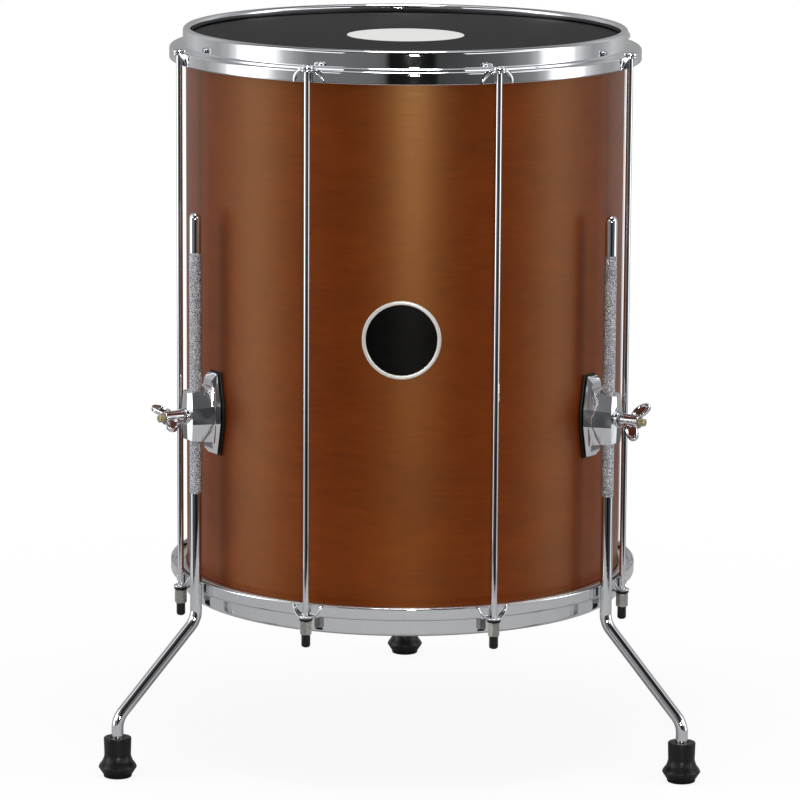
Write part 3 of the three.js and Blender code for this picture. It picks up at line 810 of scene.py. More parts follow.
MATT = {"Specular_IOR_Level": 0.3}
chrome = metal(
    "polished_chrome", (226, 228, 232), (220, 222, 226), (0.02, 0.04), 60, (0.05, 0.0002)
)
cast_chrome = metal(
    "cast_chrome", (224, 226, 230), (214, 216, 222), (0.04, 0.07), 50, (0.35, 0.0006), 0.4
)
# The knurled sleeve's tone is speckled from near white to mid grey: painted shade and glints
# standing in for the light among the knurl's points.
knurled_chrome = metal(
    "knurled_chrome", (234, 235, 240), (126, 128, 135), (0.2, 0.34), 900, (0.8, 0.0005), 1.0
)
aluminium = metal(
    "aluminium", (222, 222, 224), (205, 205, 208), (0.25, 0.38), 700, (0.1, 0.0001)
)
zinc = metal(
    "zinc_plate", (190, 188, 184), (140, 138, 134), (0.24, 0.42), 900, (0.35, 0.0002)
)
brass = metal(
    "yellow_zinc", (204, 196, 160), (150, 142, 104), (0.28, 0.44), 500, (0.2, 0.0001)
)
rubber = grained("black_rubber", (14, 14, 15), (8, 8, 9), (0.3, 0.42), 260, (0.12, 0.0003), **MATT)
plastic = grained("black_plastic", (14, 14, 15), (8, 8, 9), (0.3, 0.4), 500, (0.1, 0.0001), **MATT)
enamel = grained(
    "black_enamel", (6, 6, 6), (3, 3, 3), (0.3, 0.38), 120, (0.02, 0.0001), Specular_IOR_Level=0.07
)
clear_film = grained(
    "milky_film", (232, 232, 228), (222, 222, 218), (0.35, 0.45), 260, (0.06, 0.0002)
)
silver = grained(
    "satin_silver", (238, 238, 236), (228, 228, 226), (0.28, 0.36), 600, (0.06, 0.0001),
    Metallic=0.25,
)

wood, n = new_material("stained_wood")
wood_tones = {"Light": linear(126, 48, 0), "Dark": linear(96, 32, 0), "Pore": linear(54, 15, 0)}
varnish = {"IOR": 1.5, "Specular_IOR_Level": 0.88, "Specular_Tint": (1.0, 0.6, 0.24, 1.0)}
shaded(n, surface(n, wood_tree, **wood_tones), (0.05, 0.0002), **varnish)

black_film, n = new_material("black_film")
film_tones = {"Light": linear(24, 22, 23), "Dark": linear(15, 14, 15)}
film = surface(n, grain_tree, Size=900.0, Glossy=0.56, Dull=0.68, **film_tones)
patch = surface(n, print_tree, Middle=(0, AXIS_Y, 0), Radius=PATCH_R / 1000)
film_shader = shaded(n, film, (0.12, 0.0001), Specular_IOR_Level=0.2)
film_tone = n.mixed(patch["Mask"], film["Colour"], linear(214, 214, 212))
n.tree.links.new(film_tone, film_shader.inputs["Base Color"])


# Pieces

rides = []


def keep(obj, body, slot, *nodes):
    """Notes what a finished piece rides on, its slot and the solids it stands for."""
    rides.append((obj, body, slot, nodes))


def fixed_piece(name, form, material, slot, *nodes):
    """A piece of the drum itself."""
    keep(built(name, form, material), "drum", slot, *nodes)


# Shell
def shell_profile():
    """The wall's section: rounded edges, a bevel inside and rows about the screw holes."""
    crest = SHELL_R - EDGE_W
    bevel = crest - SHELL_IN
    rise = [(crest + EDGE_W * sin(t), EDGE_H * (1 - cos(t))) for t in quarter_steps(8)]
    low = [(r, SHELL_LOW + h) for r, h in rise]
    high = [(r, SHELL_LOW + SHELL_TOP - h) for r, h in reversed(low)]
    low.append((SHELL_R, low[-1][1] + EDGE_HOLD))
    high.insert(0, (SHELL_R, high[0][1] - EDGE_HOLD))
    rows = [BRACKET_HEIGHT + side * SCREW_RISE + move for side in (-1, 1) for move in (-6, 6)]
    inner = [SHELL_TOP - bevel, *reversed(rows), SHELL_LOW + bevel]
    return low + [(SHELL_R, h) for h in rows] + high + [(SHELL_IN, h) for h in inner]


screw_holes = Form()
for place in LEG_PLACES.values():
    for side in (-1, 1):
        hole = bar(DRILL_R, SHELL_IN - SHELL_OVERRUN, SHELL_R + SHELL_OVERRUN, DRILL_SIDES)
        screw_holes += lying(hole).moved(outward(place, BRACKET_HEIGHT + side * SCREW_RISE))
shell = built("wooden_shell", turned(shell_profile(), DRUM_SIDES, True), wood)
boolean(shell, "DIFFERENCE", screw_holes, in_metres)
smoothed(shell.data)
keep(shell, "drum", "stained_wood", "shell")

# Heads, face at zero
collar_end = FLESH_TOP - FLESH_H / 2
collar_lip = FILM_OUT + FILM_LIP
top_head = lathe(
    [
        (0, -FILM, 0), (FILM_IN, -FILM, COLLAR_BEND - FILM), (FILM_IN, collar_end, 0),
        (collar_lip, collar_end, 0.15), (collar_lip, collar_end + FILM, 0.15),
        (FILM_OUT, collar_end + FILM, 0.2), (FILM_OUT, 0, COLLAR_BEND), (0, 0, 0),
    ],
    DRUM_SIDES, 8,
)
low_head = at_height(upturned(top_head), BOTTOM_FILM)
fixed_piece("playing_head", at_height(top_head, TOP_FILM), black_film, "black_film", "top_head")
fixed_piece("resonant_head", low_head, clear_film, "clear_film", "bottom_head")

# Flesh hoops, film's face at zero
flesh_low = FLESH_TOP - FLESH_H
flesh_in = FILM_OUT + GAP
flesh_out = flesh_in + FLESH_W
flesh_end = flesh_out - FLESH_LIP
flesh_slot = FLESH_TOP - FLESH_H / 2 + FILM / 2
flesh_half = FILM / 2 + GAP
flesh_ring = lathe(
    [
        (flesh_in, flesh_low, 0.4), (flesh_out, flesh_low, 1), (flesh_out, FLESH_TOP, 1),
        (flesh_in, FLESH_TOP, 0.4), (flesh_in, flesh_slot + flesh_half, 0),
        (flesh_end, flesh_slot + flesh_half, 0), (flesh_end, flesh_slot - flesh_half, 0),
        (flesh_in, flesh_slot - flesh_half, 0),
    ],
    DRUM_SIDES, closed=True,
)
top_ring = at_height(flesh_ring, TOP_FILM)
low_ring = at_height(upturned(flesh_ring), BOTTOM_FILM)
fixed_piece("upper_flesh_ring", top_ring, aluminium, "aluminium", "top_flesh_hoop")
fixed_piece("lower_flesh_ring", low_ring, aluminium, "aluminium", "bottom_flesh_hoop")


# Hoops, bead's top at zero
def hoop_section():
    """The outline of the pressed sheet: bead, band, shelf and skirt."""
    mid = SHEET / 2
    reach = BEAD_R - mid
    crown = BAND_R - BEAD_R
    bead = [
        (crown + reach * cos(t), -BEAD_R + reach * sin(t))
        for t in [pi - pi * k / 20 for k in range(21)]
    ]
    lip = [(crown - reach, -BEAD_R - BEAD_LIP + 0.4)]
    band, skirt = BAND_R - mid, SKIRT_R - mid
    shelf, foot = -SHELF_DROP - mid, -HOOP_H + mid
    hold = SHEET_BEND + 0.8
    fall = SHELF_SLOPE * hold / (skirt - band)
    bent = rounded(
        [
            (band, -BEAD_R, 0), (band, -BEAD_R - 0.5, 0), (band, shelf + hold, 0),
            (band, shelf, SHEET_BEND), (band + hold, shelf - fall, 0),
            (skirt - hold, shelf - SHELF_SLOPE + fall, 0),
            (skirt, shelf - SHELF_SLOPE, SHEET_BEND), (skirt, shelf - SHELF_SLOPE - hold, 0),
            (skirt, foot + 0.5, 0), (skirt, foot, 0),
        ],
        10,
        closed=False,
    )
    return sheet_outline(lip + bead + bent[1:], SHEET, 6)


def tongue_ring(inset, height):
    """The tongue's outline about its rod, drawn in by inset."""
    half = TONGUE_HALF - inset
    back = ROD_CIRCLE - (HOOP_IN + SKIRT_IN) / 2
    ring = []
    for c, s, _ in circle(1, 0, MIDDLE_SIDES):
        reach = half if c >= 0 else min(half / max(abs(s), TINY), back / abs(c))
        ring.append((ROD_CIRCLE + reach * c, reach * s, height))
    return ring


def hole_ring(height):
    return [(ROD_CIRCLE + x, y, z) for x, y, z in circle(ROD_BORE / 2, height, MIDDLE_SIDES)]


def bezier(a, b, c, d, steps):
    points = []
    for t in [k / steps for k in range(steps + 1)]:
        u = 1 - t
        points.append(a * u**3 + b * (3 * u * u * t) + c * (3 * u * t * t) + d * t**3)
    return points


def gusset_form(side, rows=16):
    """One side wall of an ear: it swells out of the skirt and ends in a rounded rim."""
    levels = []
    top = -TONGUE_DROP - 0.5
    for k in range(rows + 1):
        t = k / rows
        ease = 1 - (1 - t) ** 2.2
        reach = SKIRT_R + 0.1 + (ROD_CIRCLE + 1.6 - SKIRT_R) * (1 - t) ** 1.25
        across = TONGUE_HALF - 0.1 + (MOUTH_HALF - TONGUE_HALF) * ease
        width = 4.6 * (1 - t) + 3.2 * t
        rim = Vector((reach, across))
        foot_y = across + width
        foot = Vector((sqrt(SKIRT_R**2 - foot_y**2) - 0.05, foot_y))
        tangent = Vector((-foot_y, foot.x)).normalized()
        depth = max(reach - foot.x, 0.2)
        swell = rim - Vector((depth * 0.75, 0))
        curve = bezier(rim, swell, foot - tangent * width * 0.85, foot, 12)
        inner = []
        for index, here in enumerate(curve):
            way = heading(curve, index)
            inner.append(here + Vector((way.y, -way.x)) * -GUSSET)
        middle = (curve[0] + inner[0]) / 2
        nose = half_round(middle, inner[0], 6, 1)
        if nose[2].x < middle.x:
            nose = [middle * 2 - p for p in reversed(nose)]
        height = top + (-HOOP_H - top) * k / rows
        levels.append([(p.x, side * p.y, height) for p in curve + inner[::-1] + nose])
    return capped(levels)


def ear_form():
    """A tongue with rounded edges, and its two gussets."""
    low = -TONGUE_DROP - TONGUE_T
    under, over = [], []
    for t in quarter_steps(4):
        rise, draw = TONGUE_EDGE * (1 - cos(t)), TONGUE_EDGE * (1 - sin(t))
        under.append(tongue_ring(draw, low + rise))
        over.append(tongue_ring(rise, -TONGUE_DROP - draw))
    rings = [hole_ring(low)] + under + over + [hole_ring(-TONGUE_DROP)]
    return loft(rings, loop=True) + gusset_form(1) + gusset_form(-1)


def with_copies(obj, form, material, sharp=SHARP):
    """Adds eight copies of a form that is drawn in the outward frame, one at each ear."""
    copy = built(obj.name + "_copy", form, material, sharp, about_axis)
    round_axis = {"Count": EARS, "First_angle": EAR_ANGLE / 2 - QUARTER, "Axis": (0, AXIS_Y, 0)}
    grown(obj, ring_tree, Copy=copy, Finish=material, **round_axis)
    bpy.data.objects.remove(copy)
    return obj


def hoop(name, turn, height, node):
    base = at_height(turn(turned(hoop_section(), DRUM_SIDES, True)), height)
    obj = built(name, base, chrome, SHEET_SHARP)
    ear = at_height(turn(ear_form()), height)
    keep(with_copies(obj, ear, chrome, SHEET_SHARP), "drum", "chrome", node)


hoop("upper_hoop", lambda form: form, DRUM_TOP, "top_hoop")
hoop("lower_hoop", upturned, DRUM_BOTTOM, "bottom_hoop")

on_rod = Matrix.Translation((ROD_CIRCLE, 0, 0))
ear_numbers = range(1, EARS + 1)
rod_nodes = [f"tension_rod_{i}" for i in ear_numbers]
washer_nodes = [f"rod_washer_{i}" for i in ear_numbers]


def on_rods(name, form, material, slot, nodes, sharp=SHARP):
    """A piece of eight copies, one on each tension rod."""
    obj = built(name, Form(), material)
    keep(with_copies(obj, form.moved(on_rod), material, sharp), "drum", slot, *nodes)


# Tension rods: a dished round head and a plain shank down into the cap
head_low = TONGUE_TOP + GAP
head_high = head_low + HEAD_H
dish = [(DISH_R * sin(t), head_high - DISH_DEPTH * cos(t) ** 1.5) for t in quarter_steps(10)]
rod_head = rounded(
    [
        (ROD_D / 2, head_low - 1, 0), (ROD_D / 2, head_low, 0), (HEAD_D / 2, head_low, 0.4),
        (HEAD_D / 2, head_high, DISH_DEPTH), (DISH_R, head_high, 0),
    ],
    6, False,
)
shank_end = CAP_TOP - ROD_IN_CAP
rod_profile = [(0, shank_end), (ROD_D / 2, shank_end)] + rod_head + dish[-2::-1]
rod_form = turned(rod_profile, ROD_SIDES)
on_rods("tension_rods", rod_form, chrome, "chrome", rod_nodes, SHEET_SHARP)

cap_low = CAP_TOP - CAP_L
cap_bore = ROD_D / 2 + 0.02
cap_floor = CAP_TOP - ROD_IN_CAP - 0.2
cap_form = lathe(
    [
        (0, cap_floor, 0), (cap_bore, cap_floor, 0), (cap_bore, CAP_TOP, 0.3),
        (CAP_D / 2, CAP_TOP, 0.6), (CAP_D / 2, cap_low, 2.8), (0, cap_low, 0),
    ],
    SMALL_SIDES, 6,
)
on_rods("rod_caps", cap_form, plastic, "black_plastic", rod_nodes)

washer_low = WASHER_TOP - WASHER_T
washer_form = collar(ROD_BORE / 2, HEAD_D / 2, washer_low, WASHER_TOP, 0.2, 0.7, ROD_SIDES)
on_rods("ear_washers", washer_form, plastic, "black_plastic", washer_nodes)


# Tuning nuts: tall hexagons with a chamfer at both ends
def nut_form():
    low, high = NUT_TOP - NUT_H, NUT_TOP
    bore = ROD_D / 2 + 0.35
    start = NUT_AF / 2 - 0.25
    levels = [0, 0.15, 0.35, 0.6, 0.85, 1.1]

    def hexagon(height, limit):
        """The hexagon cut by a circle of the limit's radius."""
        ring = []
        for k in range(LARGE_SIDES):
            angle = FULL * k / LARGE_SIDES
            flat = NUT_AF / 2 / cos(angle % (FULL / 6) - FULL / 12)
            radius = min(flat, limit)
            ring.append((radius * cos(angle), radius * sin(angle), height))
        return ring

    rings = [circle(bore, low + 0.5, LARGE_SIDES), circle(bore + 0.5, low, LARGE_SIDES)]
    rings += [hexagon(low + level, start + level * NUT_CHAMFER_RISE) for level in levels]
    rings += [hexagon(high - level, start + level * NUT_CHAMFER_RISE) for level in levels[::-1]]
    rings += [circle(bore + 0.5, high, LARGE_SIDES), circle(bore, high - 0.5, LARGE_SIDES)]
    return loft(rings, loop=True)


for number in ear_numbers:
    where = outward((number - 0.5) * EAR_ANGLE) @ on_rod @ Matrix.Rotation(QUARTER, 4, "Z")
    nut = built(f"tuning_hexagon_{number}", nut_form().moved(where), zinc, FACET_SHARP)
    keep(nut, f"tuning_nut_{number}_body", "zinc", f"tuning_nut_{number}")


# Badge, bent round the shell
def bent_to_shell(profile, loop=False):
    """A round form from (reach, rise) points, laid on the shell's curve."""
    rings = []
    for reach, rise in profile:
        radius = SHELL_R + GAP + rise
        ring = circle(reach, 0, 1 if reach < TINY else LARGE_SIDES)
        rings.append([(sqrt(radius**2 - x**2), x, y) for x, y, _ in ring])
    return loft(rings, loop).moved(outward(0, BADGE_HEIGHT))


disc_r = BADGE_R - BADGE_RIM - GAP
disc_steps = [disc_r * k / 8 for k in range(8)]
disc_profile = [(r, 0) for r in disc_steps]
disc_profile += [(disc_r, 0), (disc_r, DISC_T - 0.3), (disc_r - 0.3, DISC_T)]
disc_profile += [(r, DISC_T) for r in reversed(disc_steps)]
rim_in = BADGE_R - BADGE_RIM
rim_profile = rounded(
    [(rim_in, 0, 0), (BADGE_R, 0, 0), (BADGE_R, RIM_T, 0.8), (rim_in, RIM_T, 0.7)], 5
)
fixed_piece("badge_plate", bent_to_shell(disc_profile), enamel, "black_enamel", "badge_disc")
fixed_piece("badge_ring", bent_to_shell(rim_profile, True), silver, "aluminium", "badge_rim")


# Brackets
def drilled(obj, near, far):
    """Cuts the holes of the two bracket screws."""
    drill = lying(bar(DRILL_R, near, far, DRILL_SIDES))
    for side in (-1, 1):
        boolean(obj, "DIFFERENCE", at_height(drill, side * SCREW_RISE))


def bracket_mesh():
    """The casting in the outward frame, middle at zero, with its leg bore and clamp hole."""
    base = hull_of(
        (BRACKET_BACK, BASE_W - 3, BASE_END_W - 2, WAIST, BASE_H - 3),
        (BRACKET_BACK + 2, BASE_W, BASE_END_W, WAIST, BASE_H),
        (BRACKET_SHELF, BASE_W - 2.4, BASE_END_W - 1.2, WAIST, BASE_H - 11.4),
        (BRACKET_SHELF + 0.8, BASE_W - 4, BASE_END_W - 4, WAIST, BASE_H - 14.4),
    )
    skirt = hull_of(
        (BRACKET_SHELF - 1, BASE_W - 2.4, 24, WAIST, HOUSING_H + 5),
        (BRACKET_SHELF + 0.4, BASE_W - 2.6, 24, WAIST, HOUSING_H + 5),
        (BRACKET_SHELF + 4, HOUSING_W + 0.2, 21, WAIST, HOUSING_H + 1.4),
    )
    housing = hull_of(
        (BRACKET_SHELF - 1, HOUSING_W + 1.6, 23, WAIST, HOUSING_H + 3),
        (HOUSING_FACE - 2.5, HOUSING_W - 5.8, 17.8, WAIST - 2, HOUSING_H - 3.6, HOUSING_FACE - 3),
        (HOUSING_FACE, 7.6, 6.4, WAIST - 3, HOUSING_H - 6, HOUSING_FACE - 1),
    )
    obj = built("casting", base, cast_chrome, place=about_axis)
    boolean(obj, "UNION", skirt)
    boolean(obj, "UNION", housing)

    bore = KNURL_D / 2 + GAP
    half = HOUSING_H / 2 + 6
    leg_bore = bar(bore, -half, half, MIDDLE_SIDES)
    boolean(obj, "DIFFERENCE", leg_bore.moved(Matrix.Translation((LEG_CIRCLE, 0, 0))))
    room_r = EYE_OUT + BORE_GAP
    room = [
        (EYE_CENTRE + room_r * cos(t), room_r * sin(t))
        for t in [-QUARTER + pi * k / 24 for k in range(25)]
    ]
    room += [(BRACKET_BACK - OVERRUN, room_r), (BRACKET_BACK - OVERRUN, -room_r)]
    walls = (-CAVITY_HALF, CAVITY_HALF)
    boolean(obj, "DIFFERENCE", hull([(x, y, z) for x, y in room for z in walls]))
    stud_hole = STUD_R + BORE_GAP
    boolean(obj, "DIFFERENCE", lying(bar(stud_hole, EYE_CENTRE, BOSS_FACE + OVERRUN)))
    drilled(obj, BRACKET_BACK - OVERRUN, BRACKET_BACK + 5.5)

    def width(middle):
        """Sharp at the holes and the back, softest on the front and the tabs' ends."""
        x, y, z = middle
        at_bore = hypot(x - LEG_CIRCLE, y) < bore + 0.3
        at_stud = hypot(y, z) < stud_hole + 0.3
        at_room = abs(z) < CAVITY_HALF + 0.3 and abs(y) < room_r + 0.3 and x < CAVITY_END + 0.1
        at_drill = hypot(y, abs(z) - SCREW_RISE) < DRILL_R + 0.4
        if at_bore or at_stud or at_room or at_drill or x < BRACKET_BACK + 0.5:
            return 0
        return 1.1 if x > HOUSING_FACE - 4 or abs(z) > BASE_H / 2 - 12 else 0.9

    bevelled(obj, width)
    boss = lathe(
        [
            (stud_hole, HOUSING_FACE - OVERRUN, 0), (BOSS_D / 2, HOUSING_FACE - OVERRUN, 0),
            (BOSS_D / 2, BOSS_FACE, 0.9), (stud_hole, BOSS_FACE, 0.3),
        ],
        MIDDLE_SIDES, closed=True,
    )
    boolean(obj, "UNION", lying(boss))
    smoothed(obj.data, FACET_SHARP)
    weigh = obj.modifiers.new("even_shading", "WEIGHTED_NORMAL")
    weigh.keep_sharp = True
    return mesh_of(settled(obj))


def gasket_mesh():
    """The rubber pad between a bracket and the shell."""
    width, end_width, height = (size + GASKET_BORDER for size in (BASE_W, BASE_END_W, BASE_H))
    block = hull_of(
        (SHELL_R - OVERRUN, width, end_width, WAIST, height),
        (GASKET_FACE, width, end_width, WAIST, height),
    )
    obj = built("pad", block, rubber, place=about_axis)
    bevelled(obj, lambda middle: 0.8 if middle.x > GASKET_FACE - 1 else 0)
    half = height / 2 + 3
    boolean(obj, "DIFFERENCE", bar(SHELL_R + GAP, -half, half, DRUM_SIDES))
    drilled(obj, SHELL_R - SHELL_OVERRUN, GASKET_FACE + OVERRUN)
    smoothed(obj.data, FACET_SHARP)
    return mesh_of(obj)


# Wing nut: a hub and two dished paddles, melted together like a casting
def paddle_form(length=11, height=6.5, face=1.1, rim=2.2):
    """An oval paddle with a raised rim on both faces."""
    profile = rounded(
        [
            (0, face, 0), (0.62, face, 0.1), (0.74, rim, 0.08), (1.0, rim, 0.0), (1.0, -rim, 0.0),
            (0.74, -rim, 0.08), (0.62, -face, 0.1), (0, -face, 0),
        ],
        3, False,
    )
    rings = []
    for share, lift in profile:
        ring = circle(1, 0, 1 if share < TINY else EYE_SIDES)
        rings.append([(length * share * c, lift, height * share * s) for c, s, _ in ring])
    return loft(rings)


def wing_mesh():
    hub_far = WING_FAR + 1.4
    hub = lathe(
        [
            (0, WING_NEAR, 0), (STUD_R + 3.4, WING_NEAR, 0.5), (STUD_R + 3.2, WING_NEAR + 2.4, 1),
            (STUD_R + 2.9, WING_NEAR + 5, 2), (STUD_R + 2.8, hub_far, 0.4), (0, hub_far, 0),
        ],
        MIDDLE_SIDES,
    )
    obj = built("wings", lying(hub), cast_chrome, place=about_axis)
    for side in (1, -1):
        lean = Matrix.Rotation(side * (radians(40) - QUARTER), 4, "Y")
        where = Matrix.Translation((WING_NEAR + 16.5, 0, side * 13)) @ lean
        boolean(obj, "UNION", paddle_form().moved(where))
    melt = obj.modifiers.new("melt", "REMESH")
    melt.mode = "VOXEL"
    melt.voxel_size = 0.00038
    soften = obj.modifiers.new("soften", "SMOOTH")
    soften.factor = 0.5
    soften.iterations = 7
    settled(obj)
    hole = bar(STUD_R + GAP, WING_NEAR - OVERRUN, WING_FAR + OVERRUN, MIDDLE_SIDES)
    boolean(obj, "DIFFERENCE", lying(hole))
    smoothed(obj.data, MOULD_SHARP)
    return mesh_of(obj)


bracket_shape = bracket_mesh()
gasket_shape = gasket_mesh()
wing_shape = wing_mesh()

# Clamp bolts: an eye round the leg and a core that the thread is grown on
eye_ring = collar(EYE_IN, EYE_OUT, -EYE_HALF, EYE_HALF, 0.6, 1, EYE_SIDES)
eye_ring = eye_ring.moved(Matrix.Translation((EYE_CENTRE, 0, 0)))
core = lying(bar(SHANK_R, EYE_CENTRE + (EYE_IN + EYE_OUT) / 2, STUD_FAR - 4))
clamp_in, clamp_out, clamp_far = STUD_R + BORE_GAP, STUD_R + 3.5, CLAMP_NEAR + CLAMP_T
clamp_disc = lying(collar(clamp_in, clamp_out, CLAMP_NEAR, clamp_far, 0.2, 0.4, MIDDLE_SIDES))

# Bracket screws: a pan head with its flange, from inside the shell
flange_far = SHELL_IN * cos(pi / 48) - GAP
flange_near = flange_far - 1.2
screw_head = flange_near - 3.2
screw_tip = BRACKET_BACK + 5.2
screw_form = lathe(
    [
        (0, screw_head + 1.6, 0), (1.7, screw_head + 1.6, 0), (2.0, screw_head, 0.2),
        (4.75, screw_head, 1.6), (4.75, flange_near, 0.3), (6, flange_near, 0.4),
        (6, flange_far, 0.3), (SCREW_D / 2, flange_far, 0.2), (SCREW_D / 2, screw_tip, 0.5),
        (0, screw_tip, 0),
    ],
    SMALL_SIDES,
)
all_screws = Form()
screw_nodes = []

# The leg: a swept rod with a rounded top
leg_ankle = KNEE - FOOT_SPREAD / tan(SPLAY)
leg_tangent = BEND_R * tan(SPLAY / 2)


def leg_line(steps=20):
    """The leg's middle line from its foot end up to the tip, as (outwards, height)."""
    ankle, knee = leg_ankle - leg_tangent, KNEE + leg_tangent
    line = [(FOOT_CIRCLE, FOOT_SOLE + GAP), (FOOT_CIRCLE, 24), (FOOT_CIRCLE, ankle - 4)]
    bends = [SPLAY * k / steps for k in range(steps + 1)]
    low_middle, high_middle = FOOT_CIRCLE - BEND_R, LEG_CIRCLE + BEND_R
    for t in bends:
        line.append((low_middle + BEND_R * cos(t), ankle + BEND_R * sin(t)))
    for t in [pi + SPLAY - bend for bend in bends]:
        line.append((high_middle + BEND_R * cos(t), knee + BEND_R * sin(t)))
    return line + [(LEG_CIRCLE, height) for height in (KNURL_LOW, KNURL_TOP, LEG_TOP - LEG_TIP)]


def leg_form(sides=ROD_SIDES):
    """The rod, thinned where the knurled sleeve covers it."""
    radius, under, edge = LEG_D / 2, KNURL_D / 2 - 0.7, 0.8
    line = [Vector(p) for p in leg_line()]
    stations = [(here, heading(line, index), radius) for index, here in enumerate(line)]
    edges = ((KNURL_LOW, radius), (KNURL_LOW + 0.5, under), (KNURL_TOP - 0.5, under))
    sleeve = [*edges, (KNURL_TOP, radius)]
    up = stations[-2][1]
    stations[-3:-1] = [(Vector((LEG_CIRCLE, height)), up, thick) for height, thick in sleeve]
    sole, way, _ = stations[0]
    stations[:1] = [(sole, way, radius - edge), (sole + Vector((0, edge)), way, radius)]
    tip, up, _ = stations[-1]
    for t in quarter_steps(10)[1:-1]:
        rise = Vector((0, LEG_TIP * sin(t)))
        stations.append((tip + rise, up, radius * cos(t) ** 0.85))
    rings = [[(sole.x, 0, sole.y)]]
    for here, way, r in stations:
        ring = [(here.x + x * way.y, y, here.y - x * way.x) for x, y, _ in circle(r, 0, sides)]
        rings.append(ring)
    rings.append([(LEG_CIRCLE, 0, LEG_TOP)])
    return loft(rings)


foot = lathe(
    [
        (0, 0, 0), (14.3, 0, 1.0), (15.1, 4.2, 0.5), (16.0, 4.6, 0.3), (19.8, 10.6, 1.0),
        (18.6, 13.2, 1.2), (15.6, 17.2, 6), (13.7, 22.5, 10), (14.3, FOOT_H, 1.3),
        (LEG_D / 2 + 0.9, FOOT_H, 0.5), (LEG_D / 2 + GAP, FOOT_H - 1, 0.3),
        (LEG_D / 2 + GAP, FOOT_SOLE, 0), (0, FOOT_SOLE, 0),
    ],
    FOOT_SIDES, 6,
)

for side, angle in LEG_PLACES.items():
    where = outward(angle, BRACKET_HEIGHT)
    casting = placed(f"bracket_casting_{side}", bracket_shape, where, cast_chrome)
    keep(casting, "drum", "chrome", f"leg_bracket_{side}")
    pad = placed(f"gasket_pad_{side}", gasket_shape, where, rubber)
    keep(pad, "drum", "rubber", f"bracket_gasket_{side}")
    disc = clamp_disc.moved(where)
    fixed_piece(f"clamp_disc_{side}", disc, zinc, "zinc", f"clamp_washer_{side}")
    wing_turn = Matrix.Rotation(radians(WING_TURNS[side]), 4, "X")
    wing = placed(f"wing_casting_{side}", wing_shape, where @ wing_turn, cast_chrome)
    keep(wing, f"wing_nut_{side}_body", "chrome", f"wing_nut_{side}")

    bolt = built(f"clamp_eye_{side}", (eye_ring + core).moved(where), brass)
    bolt_way = Matrix.Rotation(angle - QUARTER, 4, "Z") @ Matrix.Rotation(QUARTER, 4, "Y")
    grown(
        bolt,
        thread_tree,
        Columns=32, Rows=232, Radius=STUD_D / 2000, Depth=0.0006, Low=(WING_NEAR - 4) / 1000,
        High=(STUD_FAR - 2.4) / 1000, Pitch=THREAD_PITCH / 1000,
        Centre=(0, AXIS_Y, BRACKET_HEIGHT / 1000), Lean=bolt_way.to_euler(), Finish=brass,
    )
    smoothed(bolt.data, THREAD_SHARP)
    keep(bolt, f"eye_bolt_{side}_body", "brass", f"eye_bolt_{side}")

    for sign, word in ((1, "upper"), (-1, "lower")):
        all_screws += lying(screw_form).moved(outward(angle, BRACKET_HEIGHT + sign * SCREW_RISE))
        screw_nodes.append(f"{word}_bracket_screw_{side}")

    leg = built(f"leg_rod_{side}", leg_form().moved(outward(angle)), chrome)
    grown(
        leg,
        knurl_tree,
        Columns=28, Rows=172, Radius=KNURL_D / 2000, Depth=0.00055, Low=KNURL_LOW / 1000,
        High=KNURL_TOP / 1000, Centre=in_metres(outward(angle) @ Vector((LEG_CIRCLE, 0, 0))),
        Finish=chrome, Sleeve_finish=knurled_chrome,
    )
    keep(leg, f"leg_{side}_body", "chrome", f"leg_{side}")
    foot_at = outward(angle) @ Matrix.Translation((FOOT_CIRCLE, 0, 0))
    shoe = built(f"foot_rubber_{side}", foot.moved(foot_at), rubber)
    keep(shoe, f"leg_{side}_body", "rubber", f"rubber_foot_{side}")

fixed_piece("bracket_screws", all_screws, zinc, "zinc", *screw_nodes)

for obj, body, slot, nodes in rides:
    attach(obj, body)
    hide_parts(*nodes)


# Studio

# The floor is a pale paper disc whose edge melts into the white backdrop, in metres.
# Bounce, mirrored and seen are the paper's tones for the drum, for mirrors and for the camera.
FLOOR_R = 1.4
FLOOR_CLEAR = 1.08
FLOOR_SEEN_CLEAR = 0.4
FLOOR_EDGE = 1.18
FLOOR_LIFT = 0.9
PAPER_SEEN = 0.98
PAPER_BOUNCE = 0.16
PAPER_MIRRORED = 0.54
paper_paint, n = new_material("pale_floor")
place = n.add("ShaderNodeTexCoord").outputs["Object"]
reach = n.vector("LENGTH", n.vector("SUBTRACT", place, (0, AXIS_Y, 0)))
rays = n.add("ShaderNodeLightPath").outputs
seen = rays["Is Camera Ray"]
fade_start = n.math("MULTIPLY_ADD", seen, FLOOR_SEEN_CLEAR - FLOOR_CLEAR, FLOOR_CLEAR)
fade = n.remap(reach, fade_start, FLOOR_EDGE, interpolation_type="SMOOTHSTEP")
mirrored = rays["Is Glossy Ray"]
unseen = n.math("MULTIPLY_ADD", mirrored, PAPER_MIRRORED - PAPER_BOUNCE, PAPER_BOUNCE)
tone = n.math("MULTIPLY_ADD", seen, PAPER_SEEN - PAPER_BOUNCE, unseen)
grey = n.add("ShaderNodeCombineColor", {0: tone, 1: tone, 2: tone}).outputs[0]
paper = n.add("ShaderNodeBsdfDiffuse", {"Color": grey}).outputs[0]
white = n.add("ShaderNodeEmission", {"Color": WHITE, "Strength": 1.0}).outputs[0]
through = n.add("ShaderNodeBsdfTransparent").outputs[0]
lit = n.shaders(n.math("MULTIPLY", seen, FLOOR_LIFT), paper, white)
from_above = n.shaders(fade, lit, n.shaders(seen, through, white))
backfacing = n.add("ShaderNodeNewGeometry").outputs["Backfacing"]
n.add("ShaderNodeOutputMaterial", {0: n.shaders(backfacing, from_above, through)})

